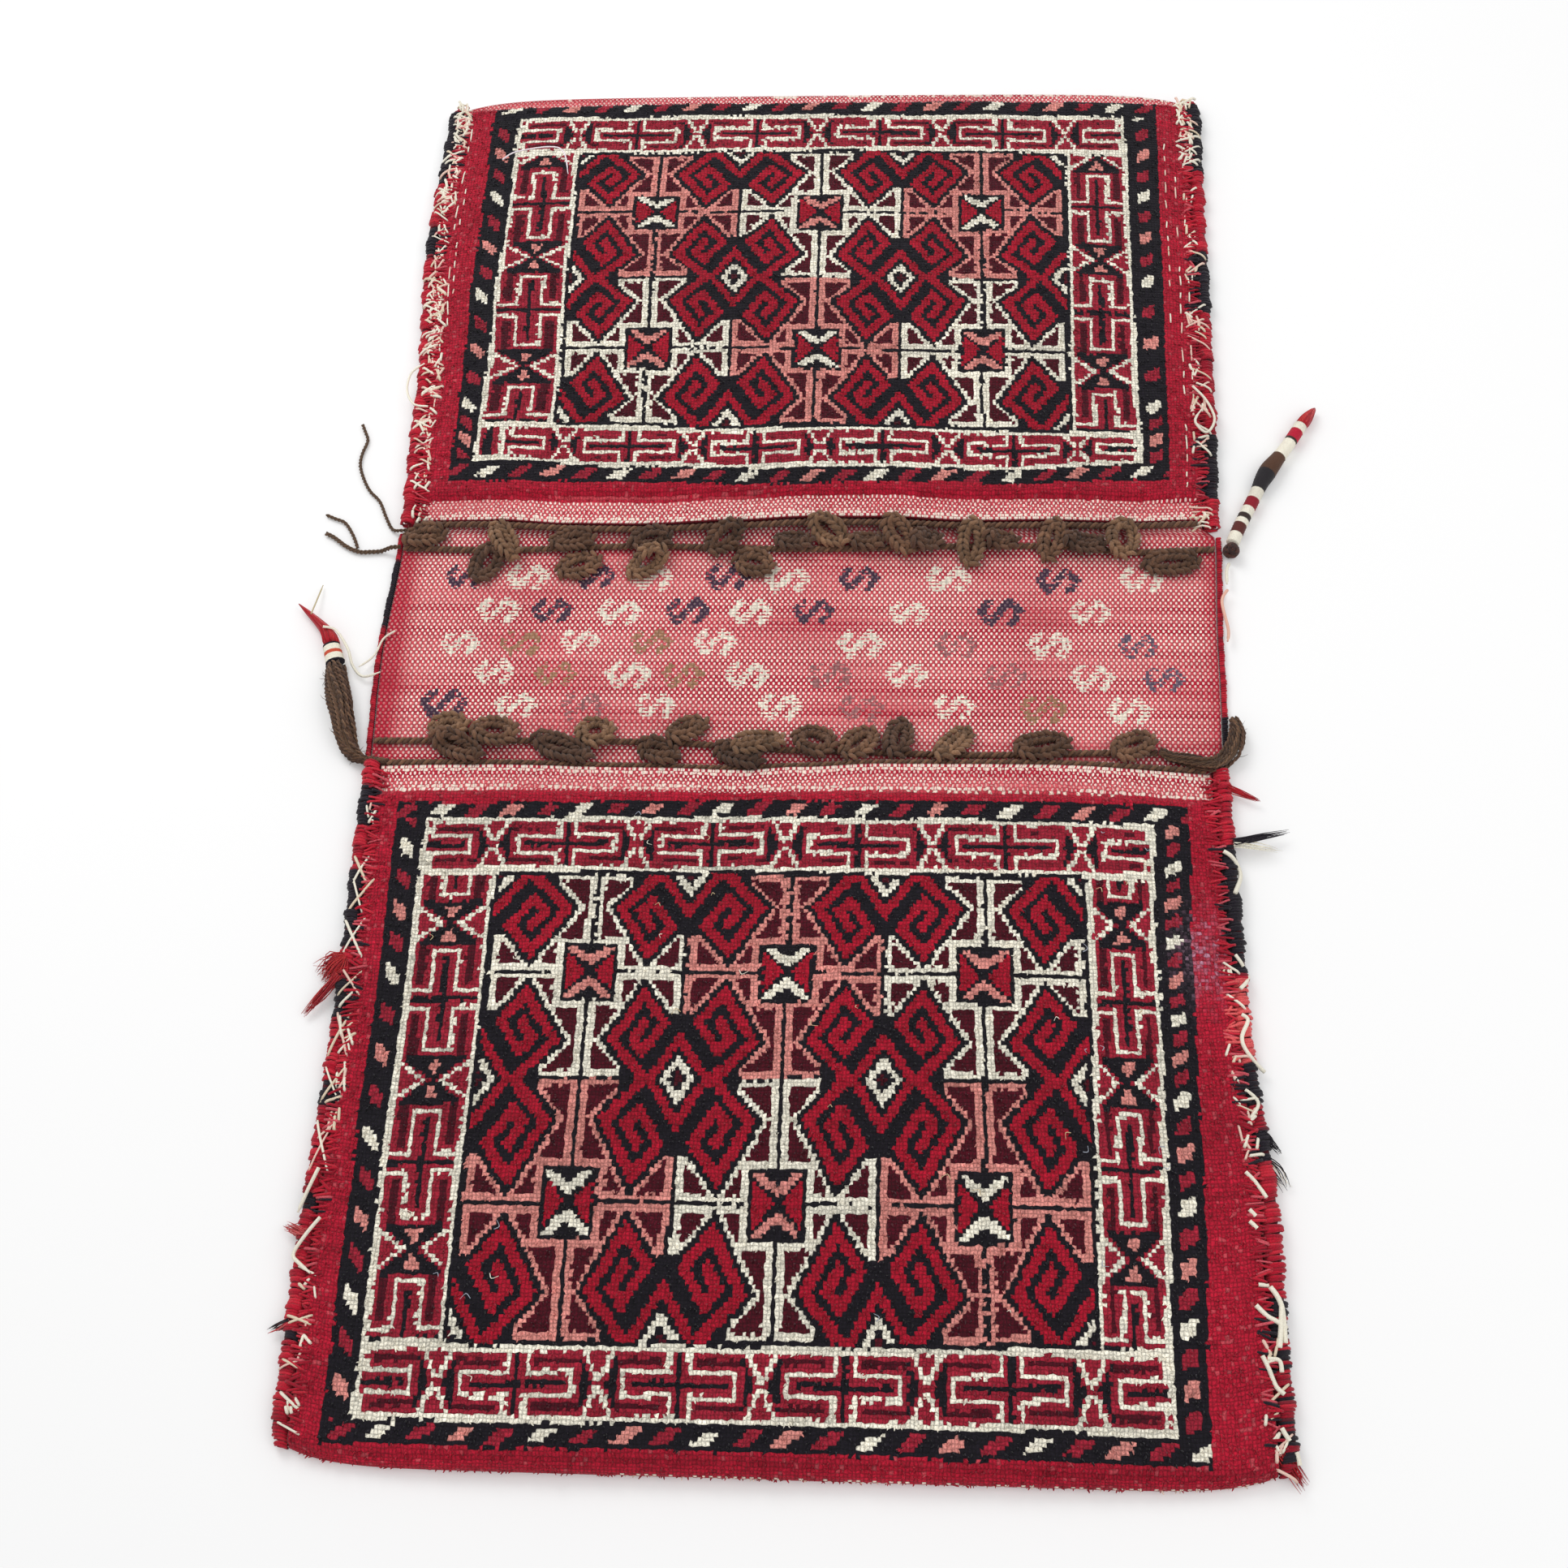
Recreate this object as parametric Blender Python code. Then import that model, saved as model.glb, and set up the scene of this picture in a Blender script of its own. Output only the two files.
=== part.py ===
"""A woven wool saddle bag, lying open on a flat surface with both pile faces up.

One long strip of cloth is folded up at each end, so that the ends lie over the middle as the faces of
two pockets. The flat-woven stretch between the two pocket mouths is the bridge that lies over the
saddle. Thick overcast bindings close the pocket sides, cream lacing crosses over them, and braided
loops hang from the cords at the mouths.

Metres, +Z up. The origin is on the underside, halfway along the bag. +Y points to the upper pocket.
"""

import math
from collections import namedtuple

import bmesh
import bpy
from mathutils import Vector

# Overall form
HALF_LENGTH = 0.540
HALF_WIDTH = 0.300
CLEARANCE = 0.0003

# Cloth
FLAT_WEAVE = 0.003
PILE_WEAVE = 0.007
PILE_STEP = 0.004
SIDE_GAP = 0.0003
FOLD_GAP = 0.0055
CORNER_ROUND = 0.010
CROWN_POWER = 3.2
RIPPLE = 0.0007
COLUMNS = 14

# Each pocket: which way it lies, its mouth, where its pile starts and ends, and how far it gapes
Pocket = namedtuple("Pocket", "name side mouth pile_start pile_end mouth_gap middle_gap mouth_wander")
UPPER_MOUTH_WANDER = (
    (-1.0, 0.001), (-0.8, 0.000), (-0.6, -0.004), (-0.4, -0.005), (-0.2, -0.002), (0.0, 0.0015),
    (0.2, 0.0015), (0.4, -0.001), (0.6, 0.0005), (0.8, 0.000), (1.0, 0.004),
)
LOWER_MOUTH_WANDER = (
    (-1.0, 0.0015), (-0.75, 0.001), (-0.35, -0.0015), (-0.15, -0.003), (0.0, 0.000),
    (0.2, 0.003), (0.6, 0.0045), (1.0, 0.001),
)
UPPER = Pocket("upper", 1, 0.121, 0.143, 0.524, 0.0075, 0.0105, UPPER_MOUTH_WANDER)
LOWER = Pocket("lower", -1, 0.0815, 0.104, 0.529, 0.0075, 0.0115, LOWER_MOUTH_WANDER)

# How far the worn outer edges stray from HALF_WIDTH: share of HALF_LENGTH, metres outwards
LEFT_WANDER = (
    (-1.0, -0.001), (-0.75, 0.000), (-0.48, -0.002), (-0.17, 0.001), (0.02, 0.004), (0.20, 0.000),
    (0.42, 0.003), (0.72, 0.012), (1.0, 0.008),
)
RIGHT_WANDER = (
    (-1.0, 0.001), (-0.70, 0.000), (-0.46, -0.008), (-0.16, -0.010), (0.02, -0.008), (0.23, -0.004),
    (0.42, -0.001), (0.70, 0.002), (1.0, 0.005),
)

# Overcast bindings of the pocket sides and of the bridge
BINDING_WIDTH = 0.0135
BINDING_HEIGHT = 0.0115
BINDING_PITCH = 0.027
BINDING_WAIST = 0.86
BRIDGE_EDGE_WIDTH = 0.005
BRIDGE_EDGE_HEIGHT = 0.0045
EDGE_SLACK = 0.0005
EDGE_EASE = 0.006
BACK_PITCH = 0.042

# Cream lacing over the bindings
LACE_RADIUS = 0.0013
LACE_PITCH = 0.038
LACE_ON_FACE = 0.014
LACE_ON_BINDING = 0.0095

# Closing cords and braided loops
CORD_RADIUS = 0.0022
CORD_POINTS = 22
MOUTH_CORD_REACH = 0.985
BRIDGE_CORD_REACH = 0.995
LOWER_CORD_END = 0.845
CORD_SHARE_OF_GAPE = 0.6
BRAID_HALF_WIDTH = 0.0036
BRAID_HALF_HEIGHT = 0.0027
LOOP_POINTS = 12
STACK_GAP = 0.0003
UPPER_BRIDGE_CORD = 0.0995
LOWER_BRIDGE_CORD = 0.062
UPPER_CORD_WANDER = (
    (-1.0, -0.0005), (-0.8, -0.002), (-0.4, 0.002), (0.0, 0.000), (0.4, 0.003), (0.6, 0.0035),
    (0.8, -0.002), (1.0, 0.001),
)
LOWER_CORD_WANDER = (
    (-1.0, 0.002), (-0.6, 0.003), (-0.35, 0.003), (0.0, -0.0025), (0.4, -0.005), (0.8, -0.002),
    (1.0, -0.003),
)

# Each loop: share of the half width, the cord that it hangs on, how far its middle hangs from that
# cord towards the middle of the bridge, its length, its width and its turn in degrees
Loop = namedtuple("Loop", "share cord drop length width turn")
UPPER_LOOPS = (
    Loop(-0.930, "mouth", 0.0105, 0.032, 0.017, 10), Loop(-0.770, "bridge", 0.0120, 0.033, 0.020, 60),
    Loop(-0.730, "mouth", 0.0150, 0.036, 0.016, -62), Loop(-0.567, "mouth", 0.0105, 0.034, 0.016, 8),
    Loop(-0.547, "bridge", 0.0160, 0.034, 0.019, 20), Loop(-0.377, "mouth", 0.0095, 0.032, 0.016, 12),
    Loop(-0.383, "bridge", 0.0160, 0.033, 0.017, 35), Loop(-0.200, "mouth", 0.0110, 0.033, 0.018, 42),
    Loop(-0.127, "bridge", 0.0130, 0.030, 0.020, -12), Loop(-0.033, "bridge", -0.0050, 0.029, 0.016, -3),
    Loop(0.050, "mouth", 0.0085, 0.033, 0.018, -35), Loop(0.143, "bridge", -0.0040, 0.027, 0.015, 3),
    Loop(0.220, "mouth", 0.0120, 0.034, 0.018, -55), Loop(0.285, "bridge", -0.0020, 0.024, 0.017, 20),
    Loop(0.390, "mouth", 0.0150, 0.036, 0.018, 85), Loop(0.462, "bridge", -0.0020, 0.026, 0.015, 0),
    Loop(0.580, "mouth", 0.0140, 0.033, 0.017, 75), Loop(0.660, "bridge", -0.0010, 0.032, 0.016, -3),
    Loop(0.747, "mouth", 0.0130, 0.031, 0.022, 90), Loop(0.860, "bridge", 0.0100, 0.042, 0.017, 5),
)
LOWER_LOOPS = (
    Loop(-0.813, "bridge", 0.0110, 0.028, 0.019, 10), Loop(-0.783, "mouth", 0.0110, 0.040, 0.017, -25),
    Loop(-0.703, "bridge", 0.0060, 0.034, 0.022, -10), Loop(-0.543, "mouth", 0.0125, 0.046, 0.017, -22),
    Loop(-0.470, "bridge", 0.0060, 0.027, 0.023, 0), Loop(-0.320, "mouth", 0.0115, 0.031, 0.018, -25),
    Loop(-0.260, "bridge", 0.0100, 0.032, 0.017, 30), Loop(-0.137, "mouth", 0.0100, 0.037, 0.017, -25),
    Loop(-0.095, "bridge", 0.0010, 0.038, 0.017, 20), Loop(0.033, "bridge", 0.0060, 0.031, 0.023, -20),
    Loop(0.133, "mouth", 0.0160, 0.033, 0.020, 50), Loop(0.223, "bridge", 0.0100, 0.033, 0.018, 80),
    Loop(0.347, "mouth", 0.0150, 0.036, 0.016, 50), Loop(0.547, "bridge", 0.0050, 0.040, 0.021, 12),
    Loop(0.750, "bridge", 0.0040, 0.033, 0.020, 25),
)

# Loose ends: each route's points are chosen by eye, as the distance out from HALF_WIDTH, then y and the
# height of the strand's underside
THIN_TAIL_RADIUS = 0.0014
THIN_TAIL = (
    (-0.0172, 0.1188, 0.0045), (-0.0095, 0.1157, 0.0038), (-0.0020, 0.1148, 0.0034),
    (0.0055, 0.1180, 0.0001), (0.0120, 0.1300, 0.0001), (0.0180, 0.1430, 0.0001),
    (0.0265, 0.1520, 0.0001), (0.0330, 0.1640, 0.0001), (0.0370, 0.1760, 0.0001),
    (0.0365, 0.1870, 0.0001), (0.0340, 0.1980, 0.0001), (0.0370, 0.2060, 0.0001),
    (0.0400, 0.2130, 0.0001),
)
FORK_RADIUS = 0.0018
FORK = (
    (-0.0038, 0.0992, 0.0049), (0.0020, 0.0990, 0.0049), (0.0070, 0.0988, 0.0022),
    (0.0115, 0.0985, 0.0001), (0.0190, 0.0980, 0.0001), (0.0280, 0.0980, 0.0001),
    (0.0380, 0.1030, 0.0001), (0.0475, 0.1105, 0.0001), (0.0540, 0.1140, 0.0001),
)
FORK_PRONG = (
    (0.0290, 0.1014, 0.0001), (0.0335, 0.1120, 0.0001), (0.0410, 0.1235, 0.0001),
    (0.0485, 0.1270, 0.0001), (0.0560, 0.1305, 0.0001),
)
WRAPPED_CORD_RADIUS = 0.0055
WRAPPED_CORD = (
    (0.0021, 0.1056, 0.0001), (0.0090, 0.1220, 0.0001), (0.0190, 0.1425, 0.0001),
    (0.0300, 0.1660, 0.0001), (0.0460, 0.1890, 0.0001), (0.0575, 0.2080, 0.0001),
)
WRAPPED_TIP = ((0.0579, 0.2087, 0.0001), (0.0640, 0.2180, 0.0001), (0.0700, 0.2260, 0.0001))
RIGHT_KNOT = (0.0008, 0.0990)
RIGHT_KNOT_RADIUS = 0.0062
HANK = (
    (-0.0167, -0.0768, 0.0034), (-0.0080, -0.0756, 0.0034), (0.0010, -0.0752, 0.0030),
    (0.0110, -0.0680, 0.0001), (0.0165, -0.0520, 0.0001), (0.0215, -0.0340, 0.0001),
    (0.0262, -0.0170, 0.0001), (0.0300, 0.0000, 0.0001),
)
HANK_RADII = (0.0022, 0.0022, 0.0028, 0.0065, 0.0092, 0.0105, 0.0095, 0.0070)
TASSEL_WRAP = ((0.0303, 0.0012, 0.0001), (0.0352, 0.0155, 0.0001))
TASSEL_WRAP_RADII = (0.0072, 0.0075)
TASSEL_TIP = ((0.0355, 0.0166, 0.0001), (0.0412, 0.0290, 0.0001), (0.0640, 0.0510, 0.0001))
TASSEL_TIP_RADII = (0.0068, 0.0052, 0.0012)
RIGHT_HANK = (
    (-0.0576, -0.0646), (-0.0400, -0.0710), (-0.0230, -0.0745), (-0.0100, -0.0640), (-0.0050, -0.0480),
    (-0.0065, -0.0370),
)
RIGHT_HANK_RADII = (0.0026, 0.0050, 0.0062, 0.0065, 0.0055, 0.0030)


def clear_scene():
    for thing in list(bpy.data.objects):
        bpy.data.objects.remove(thing, do_unlink=True)


def material(name, colour, roughness):
    found = bpy.data.materials.get(name)
    if found:
        return found
    made = bpy.data.materials.new(name)
    made.use_nodes = True
    shader = made.node_tree.nodes["Principled BSDF"]
    shader.inputs["Base Color"].default_value = (*colour, 1.0)
    shader.inputs["Roughness"].default_value = roughness
    shader.inputs["Metallic"].default_value = 0.0
    return made


def add_mesh(name, verts, faces, finish):
    """One closed mesh object with its faces turned outwards."""
    mesh = bpy.data.meshes.new(name)
    mesh.from_pydata([tuple(v) for v in verts], [], faces)
    shape = bmesh.new()
    shape.from_mesh(mesh)
    bmesh.ops.recalc_face_normals(shape, faces=shape.faces)
    shape.to_mesh(mesh)
    shape.free()
    mesh.shade_smooth()
    mesh.set_sharp_from_angle(angle=math.radians(40))
    made = bpy.data.objects.new(name, mesh)
    made.data.materials.append(finish)
    bpy.context.scene.collection.objects.link(made)
    return made


def wander(points, at):
    """A smooth value read between hand-placed (place, value) points."""
    if at <= points[0][0]:
        return points[0][1]
    for (a, low), (b, high) in zip(points, points[1:]):
        if at <= b:
            t = (at - a) / (b - a)
            return low + (high - low) * (3 * t * t - 2 * t * t * t)
    return points[-1][1]


def smooth_route(points, count):
    """Points read evenly from a smooth curve through a route's own points."""
    padded = [points[0], *points, points[-1]]
    path = []
    for k in range(count):
        place = k / (count - 1) * (len(points) - 1)
        i = min(int(place), len(points) - 2)
        t = place - i
        a, b, c, d = (Vector(p) for p in padded[i:i + 4])
        path.append(0.5 * (2 * b + (c - a) * t + (2 * a - 5 * b + 4 * c - d) * t * t
                           + (3 * b - a - 3 * c + d) * t * t * t))
    return path


def outer_edge(side, y):
    """How far out the bag's worn edge lies at y, on the left (-1) or right (+1)."""
    points = LEFT_WANDER if side < 0 else RIGHT_WANDER
    return HALF_WIDTH + wander(points, y / HALF_LENGTH)


def cloth_edge(side, y):
    return outer_edge(side, y) - BINDING_WIDTH - EDGE_SLACK


def bridge_edge(side, y):
    """The cloth's edge between the mouths, where the binding is narrow."""
    return outer_edge(side, y) - BRIDGE_EDGE_WIDTH - EDGE_SLACK


def edge_here(side, y):
    """The cloth's edge anywhere, easing from pocket to bridge behind each mouth."""
    for pocket in (UPPER, LOWER):
        past = pocket.side * y - (pocket.mouth - 1.5 * EDGE_EASE)
        if past > 0:
            t = min(past / EDGE_EASE, 1.0)
            return bridge_edge(side, y) * (1 - t) + cloth_edge(side, y) * t
    return bridge_edge(side, y)


def mouth_y(pocket, u):
    return pocket.side * pocket.mouth + wander(pocket.mouth_wander, u)


def end_y(pocket, u):
    return pocket.side * (HALF_LENGTH - CORNER_ROUND * abs(u) ** 12)


def gape(pocket, u, y):
    """The height of the pocket's empty space at a share u of the width."""
    depth = (pocket.side * y - pocket.mouth) / (HALF_LENGTH - pocket.mouth)
    depth = min(max(depth, 0.0), 1.0)
    swell = math.sin(math.pi * min(depth * 1.15, 1.0))
    closing = min((1 - depth) / 0.16, 1.0)
    middle = pocket.mouth_gap + (pocket.middle_gap - pocket.mouth_gap) * swell
    middle = FOLD_GAP + (middle - FOLD_GAP) * closing
    crown = 1 - abs(u) ** CROWN_POWER
    ripple = RIPPLE * math.sin(9 * u + 3 * depth) * math.sin(11 * depth + 2 * u) * closing
    return SIDE_GAP + (middle + ripple) * crown


def face_thickness(pocket, y):
    inside = min(pocket.side * y - pocket.pile_start, pocket.pile_end - pocket.side * y)
    share = min(max(inside / PILE_STEP + 1, 0.0), 1.0)
    return FLAT_WEAVE + (PILE_WEAVE - FLAT_WEAVE) * share


def face_top(x, y):
    """The height of the cloth's upper surface at a place, face or bridge."""
    side = -1 if x < 0 else 1
    for pocket in (UPPER, LOWER):
        u = x / cloth_edge(side, y)
        if pocket.side * (y - mouth_y(pocket, u)) >= 0 and abs(u) <= 1:
            return FLAT_WEAVE + gape(pocket, u, y) + face_thickness(pocket, y)
    return FLAT_WEAVE


def face_rows(pocket):
    """Where the face's rows lie, as a share from mouth (0) to fold (1), with a row at each step."""
    deep = HALF_LENGTH - pocket.mouth
    start = (pocket.pile_start - pocket.mouth) / deep
    end = (pocket.pile_end - pocket.mouth) / deep
    step = PILE_STEP / deep
    middle = [start + (end - start) * k / 11 for k in range(1, 11)]
    return [0.0, start - step, start, *middle, end, end + step]


def back_rows():
    """Where the back's rows lie, from the upper end to the lower, with rows at each change of width."""
    rows = []
    for pocket in (UPPER, LOWER):
        near = pocket.mouth - 0.5 * EDGE_EASE
        far = HALF_LENGTH - BACK_PITCH
        count = math.ceil((far - near) / BACK_PITCH)
        rows += [pocket.side * (near + (far - near) * k / count) for k in range(count + 1)]
        rows.append(pocket.side * (pocket.mouth - 1.5 * EDGE_EASE))
    high, low = UPPER.mouth - 1.5 * EDGE_EASE, -(LOWER.mouth - 1.5 * EDGE_EASE)
    count = math.ceil((high - low) / BACK_PITCH)
    rows += [low + (high - low) * k / count for k in range(1, count)]
    return sorted(rows, reverse=True)


def strip_sections():
    """The folded strip as (inner, outer) points across the width, from mouth to mouth."""
    shares = [-1 + 2 * k / COLUMNS for k in range(COLUMNS + 1)]
    sections = []

    def place(u, y, z):
        side = -1 if u < 0 else 1
        return Vector((u * edge_here(side, y), y, z))

    def face_row(pocket, t):
        row = []
        for u in shares:
            end = end_y(pocket, u)
            fold_centre = end - pocket.side * (FLAT_WEAVE + gape(pocket, u, end) / 2)
            y = mouth_y(pocket, u) + (fold_centre - mouth_y(pocket, u)) * t
            low = FLAT_WEAVE + gape(pocket, u, y)
            row.append((place(u, y, low), place(u, y, low + face_thickness(pocket, y))))
        return row

    def fold_row(pocket, angle):
        row = []
        for u in shares:
            radius = gape(pocket, u, end_y(pocket, u)) / 2
            centre = end_y(pocket, u) - pocket.side * (FLAT_WEAVE + radius)
            out = pocket.side * math.cos(angle)
            up = math.sin(angle)
            middle = FLAT_WEAVE + radius
            row.append((place(u, centre + out * radius, middle + up * radius),
                        place(u, centre + out * (radius + FLAT_WEAVE), middle + up * (radius + FLAT_WEAVE))))
        return row

    def back_row(y):
        return [(place(u, y, FLAT_WEAVE), place(u, y, 0.0)) for u in shares]

    for t in face_rows(UPPER):
        sections.append(face_row(UPPER, t))
    for k in range(5):
        sections.append(fold_row(UPPER, math.pi / 2 - math.pi * k / 4))
    sections += [back_row(y) for y in back_rows()]
    for k in range(5):
        sections.append(fold_row(LOWER, -math.pi / 2 + math.pi * k / 4))
    for t in reversed(face_rows(LOWER)):
        sections.append(face_row(LOWER, t))
    return sections


def woven_bag():
    """The one strip of cloth, with its pile faces thicker than its flat weave."""
    sections = strip_sections()
    across = COLUMNS + 1
    verts = [p for row in sections for pair in row for p in pair]

    def at(i, j, outer):
        return (i * across + j) * 2 + outer

    faces = []
    for i in range(len(sections) - 1):
        for j in range(COLUMNS):
            faces.append((at(i, j, 1), at(i, j + 1, 1), at(i + 1, j + 1, 1), at(i + 1, j, 1)))
            faces.append((at(i, j, 0), at(i + 1, j, 0), at(i + 1, j + 1, 0), at(i, j + 1, 0)))
        for j in (0, COLUMNS):
            faces.append((at(i, j, 0), at(i, j, 1), at(i + 1, j, 1), at(i + 1, j, 0)))
    for i in (0, len(sections) - 1):
        for j in range(COLUMNS):
            faces.append((at(i, j, 0), at(i, j + 1, 0), at(i, j + 1, 1), at(i, j, 1)))
    add_mesh("woven_bag", verts, faces, material("crimson_wool", (0.42, 0.02, 0.05), 0.9))


def loft(name, rings, finish, closed=False):
    """A solid through rings of points, capped at its ends unless it closes on itself."""
    sides = len(rings[0])
    verts = [p for ring in rings for p in ring]
    faces = []
    spans = len(rings) if closed else len(rings) - 1
    for i in range(spans):
        here, after = i * sides, (i + 1) % len(rings) * sides
        for k in range(sides):
            n = (k + 1) % sides
            faces.append((here + k, here + n, after + n, after + k))
    if not closed:
        faces.append(tuple(range(sides)))
        faces.append(tuple(range(len(verts) - sides, len(verts))))
    return add_mesh(name, verts, faces, finish)


def tube_rings(path, half_widths, half_heights, sides, closed=False):
    """Rings across a path that lies roughly level, each wide by high as given."""
    rings = []
    count = len(path)
    for i, point in enumerate(path):
        before = path[i - 1] if i or closed else path[i]
        after = path[(i + 1) % count] if i + 1 < count or closed else path[i]
        along = (after - before).normalized()
        across = along.cross(Vector((0, 0, 1))).normalized()
        up = across.cross(along)
        wide, high = half_widths[i], half_heights[i]
        rings.append([
            point + across * wide * math.cos(2 * math.pi * k / sides + math.pi / sides)
            + up * high * math.sin(2 * math.pi * k / sides + math.pi / sides)
            for k in range(sides)
        ])
    return rings


def binding(name, side, start, end, width, height, finish):
    """An overcast edge of wound wool, lumpy where the turns bunch, flat where it rests."""
    count = 2 * max(round(abs(end - start) / BINDING_PITCH), 4) + 1
    profile = ((0.0, 0.0), (0.0, 0.82), (0.35, 1.0), (0.78, 0.86), (1.0, 0.46), (0.80, 0.0))
    rings = []
    for k in range(count):
        y = start + (end - start) * k / (count - 1)
        full = 1.0 if k % 2 else BINDING_WAIST
        if k in (0, count - 1):
            full = 0.7
        inner = outer_edge(side, y) - width
        rings.append([Vector((side * (inner + width * full * a), y, height * full * b)) for a, b in profile])
    loft(name, rings, finish)


def bindings():
    navy = material("navy_wool", (0.02, 0.02, 0.04), 0.9)
    crimson = material("crimson_wool", (0.42, 0.02, 0.05), 0.9)
    for pocket in (UPPER, LOWER):
        start, end = pocket.side * (pocket.mouth - 0.4 * EDGE_EASE), pocket.side * (HALF_LENGTH - 0.006)
        binding(f"{pocket.name}_left_binding", -1, start, end, BINDING_WIDTH, BINDING_HEIGHT, navy)
        binding(f"{pocket.name}_right_binding", 1, start, end, BINDING_WIDTH, BINDING_HEIGHT, crimson)
    low, high = -LOWER.mouth + 1.6 * EDGE_EASE, UPPER.mouth - 1.6 * EDGE_EASE
    binding("bridge_left_edge", -1, low, high, BRIDGE_EDGE_WIDTH, BRIDGE_EDGE_HEIGHT, navy)
    binding("bridge_right_edge", 1, low, high, BRIDGE_EDGE_WIDTH, BRIDGE_EDGE_HEIGHT, crimson)


def lacing(pocket, side, finish):
    """A cream thread zigzagged over the binding and the face's edge."""
    start, end = pocket.mouth + 0.012, HALF_LENGTH - 0.022
    count = round((end - start) / LACE_PITCH) * 2 + 1
    level = BINDING_HEIGHT + CLEARANCE + LACE_RADIUS
    turns = []
    for k in range(count):
        y = pocket.side * (start + (end - start) * k / (count - 1))
        edge = cloth_edge(side, y)
        reach = LACE_ON_BINDING if k % 2 else -LACE_ON_FACE
        x = side * (edge + reach)
        here = level
        if reach < 0:
            near = max(face_top(x, y + dy) for dy in (-0.004, 0.0, 0.004))
            here = max(level, near + CLEARANCE * 2 + LACE_RADIUS)
        turns.append(Vector((x, y, here)))
    thin = [LACE_RADIUS] * count
    loft(f"{pocket.name}_{'left' if side < 0 else 'right'}_lacing", tube_rings(turns, thin, thin, 4), finish)


class Pile:
    """What already lies on the bag, so that each new strand rests on top of it."""

    def __init__(self):
        self.strands = []

    def add(self, path, half_width, half_height, closed=False):
        joined = [*path, path[0]] if closed else path
        self.strands.append((joined, half_width, half_height))

    def height(self, x, y, half_width, half_height):
        """The lowest centre height there for a strand that clears cloth and strands."""
        here = face_top(x, y)
        for dx, dy in ((1, 0), (-1, 0), (0, 1), (0, -1)):
            here = max(here, face_top(x + dx * half_width, y + dy * half_width))
        level = here + CLEARANCE + half_height
        for path, wide, high in self.strands:
            reach = wide + half_width + STACK_GAP
            for a, b in zip(path, path[1:]):
                run = Vector((b.x - a.x, b.y - a.y))
                off = Vector((x - a.x, y - a.y))
                t = min(max(off.dot(run) / max(run.length_squared, 1e-12), 0.0), 1.0)
                apart = (off - run * t).length
                if apart < reach:
                    rise = (high + half_height + STACK_GAP) * math.sqrt(1 - (apart / reach) ** 2)
                    level = max(level, a.z + (b.z - a.z) * t + rise)
        return level


def mouth_cord_path(pocket):
    path = []
    for k in range(CORD_POINTS):
        u = MOUTH_CORD_REACH * (2 * k / (CORD_POINTS - 1) - 1)
        y = mouth_y(pocket, u) - pocket.side * (CORD_RADIUS + CLEARANCE * 2)
        side = -1 if u < 0 else 1
        z = FLAT_WEAVE + CLEARANCE + CORD_RADIUS + CORD_SHARE_OF_GAPE * gape(pocket, u, mouth_y(pocket, u))
        path.append(Vector((u * cloth_edge(side, y), y, z)))
    return path


def bridge_cord_y(pocket, u):
    middle = UPPER_BRIDGE_CORD if pocket.side > 0 else -LOWER_BRIDGE_CORD
    return middle + wander(UPPER_CORD_WANDER if pocket.side > 0 else LOWER_CORD_WANDER, u)


def bridge_cord_path(pocket, right_reach):
    path = []
    for k in range(CORD_POINTS):
        u = -BRIDGE_CORD_REACH + (BRIDGE_CORD_REACH + right_reach) * k / (CORD_POINTS - 1)
        y = bridge_cord_y(pocket, u)
        side = -1 if u < 0 else 1
        path.append(Vector((u * bridge_edge(side, y), y, FLAT_WEAVE + CLEARANCE + CORD_RADIUS)))
    return path


def laid_loop(pile, pocket, loop):
    """A loop's centreline, laid on the cords, the cloth and the loops under it."""
    if loop.cord == "mouth":
        anchor = mouth_y(pocket, loop.share) - pocket.side * (CORD_RADIUS + CLEARANCE * 2)
    else:
        anchor = bridge_cord_y(pocket, loop.share)
    middle = Vector((loop.share * HALF_WIDTH, anchor - pocket.side * loop.drop))
    turn = math.radians(loop.turn)
    flat = []
    for k in range(LOOP_POINTS * 2):
        angle = math.pi * k / LOOP_POINTS
        a = (loop.length / 2 - BRAID_HALF_WIDTH) * math.cos(angle)
        b = (loop.width / 2 - BRAID_HALF_WIDTH * 0.8) * math.sin(angle)
        flat.append((middle.x + a * math.cos(turn) - b * math.sin(turn),
                     middle.y + a * math.sin(turn) + b * math.cos(turn)))
    levels = [pile.height(x, y, BRAID_HALF_WIDTH, BRAID_HALF_HEIGHT) for x, y in flat]
    count = len(levels)
    for _ in range(3):
        levels = [max(z, 0.5 * (levels[i - 1] + levels[(i + 1) % count])) for i, z in enumerate(levels)]
    high = [max(levels[i - 1], levels[i], levels[(i + 1) % count]) for i in range(0, count, 2)]
    return [Vector((*flat[2 * i], high[i])) for i in range(LOOP_POINTS)]


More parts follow.
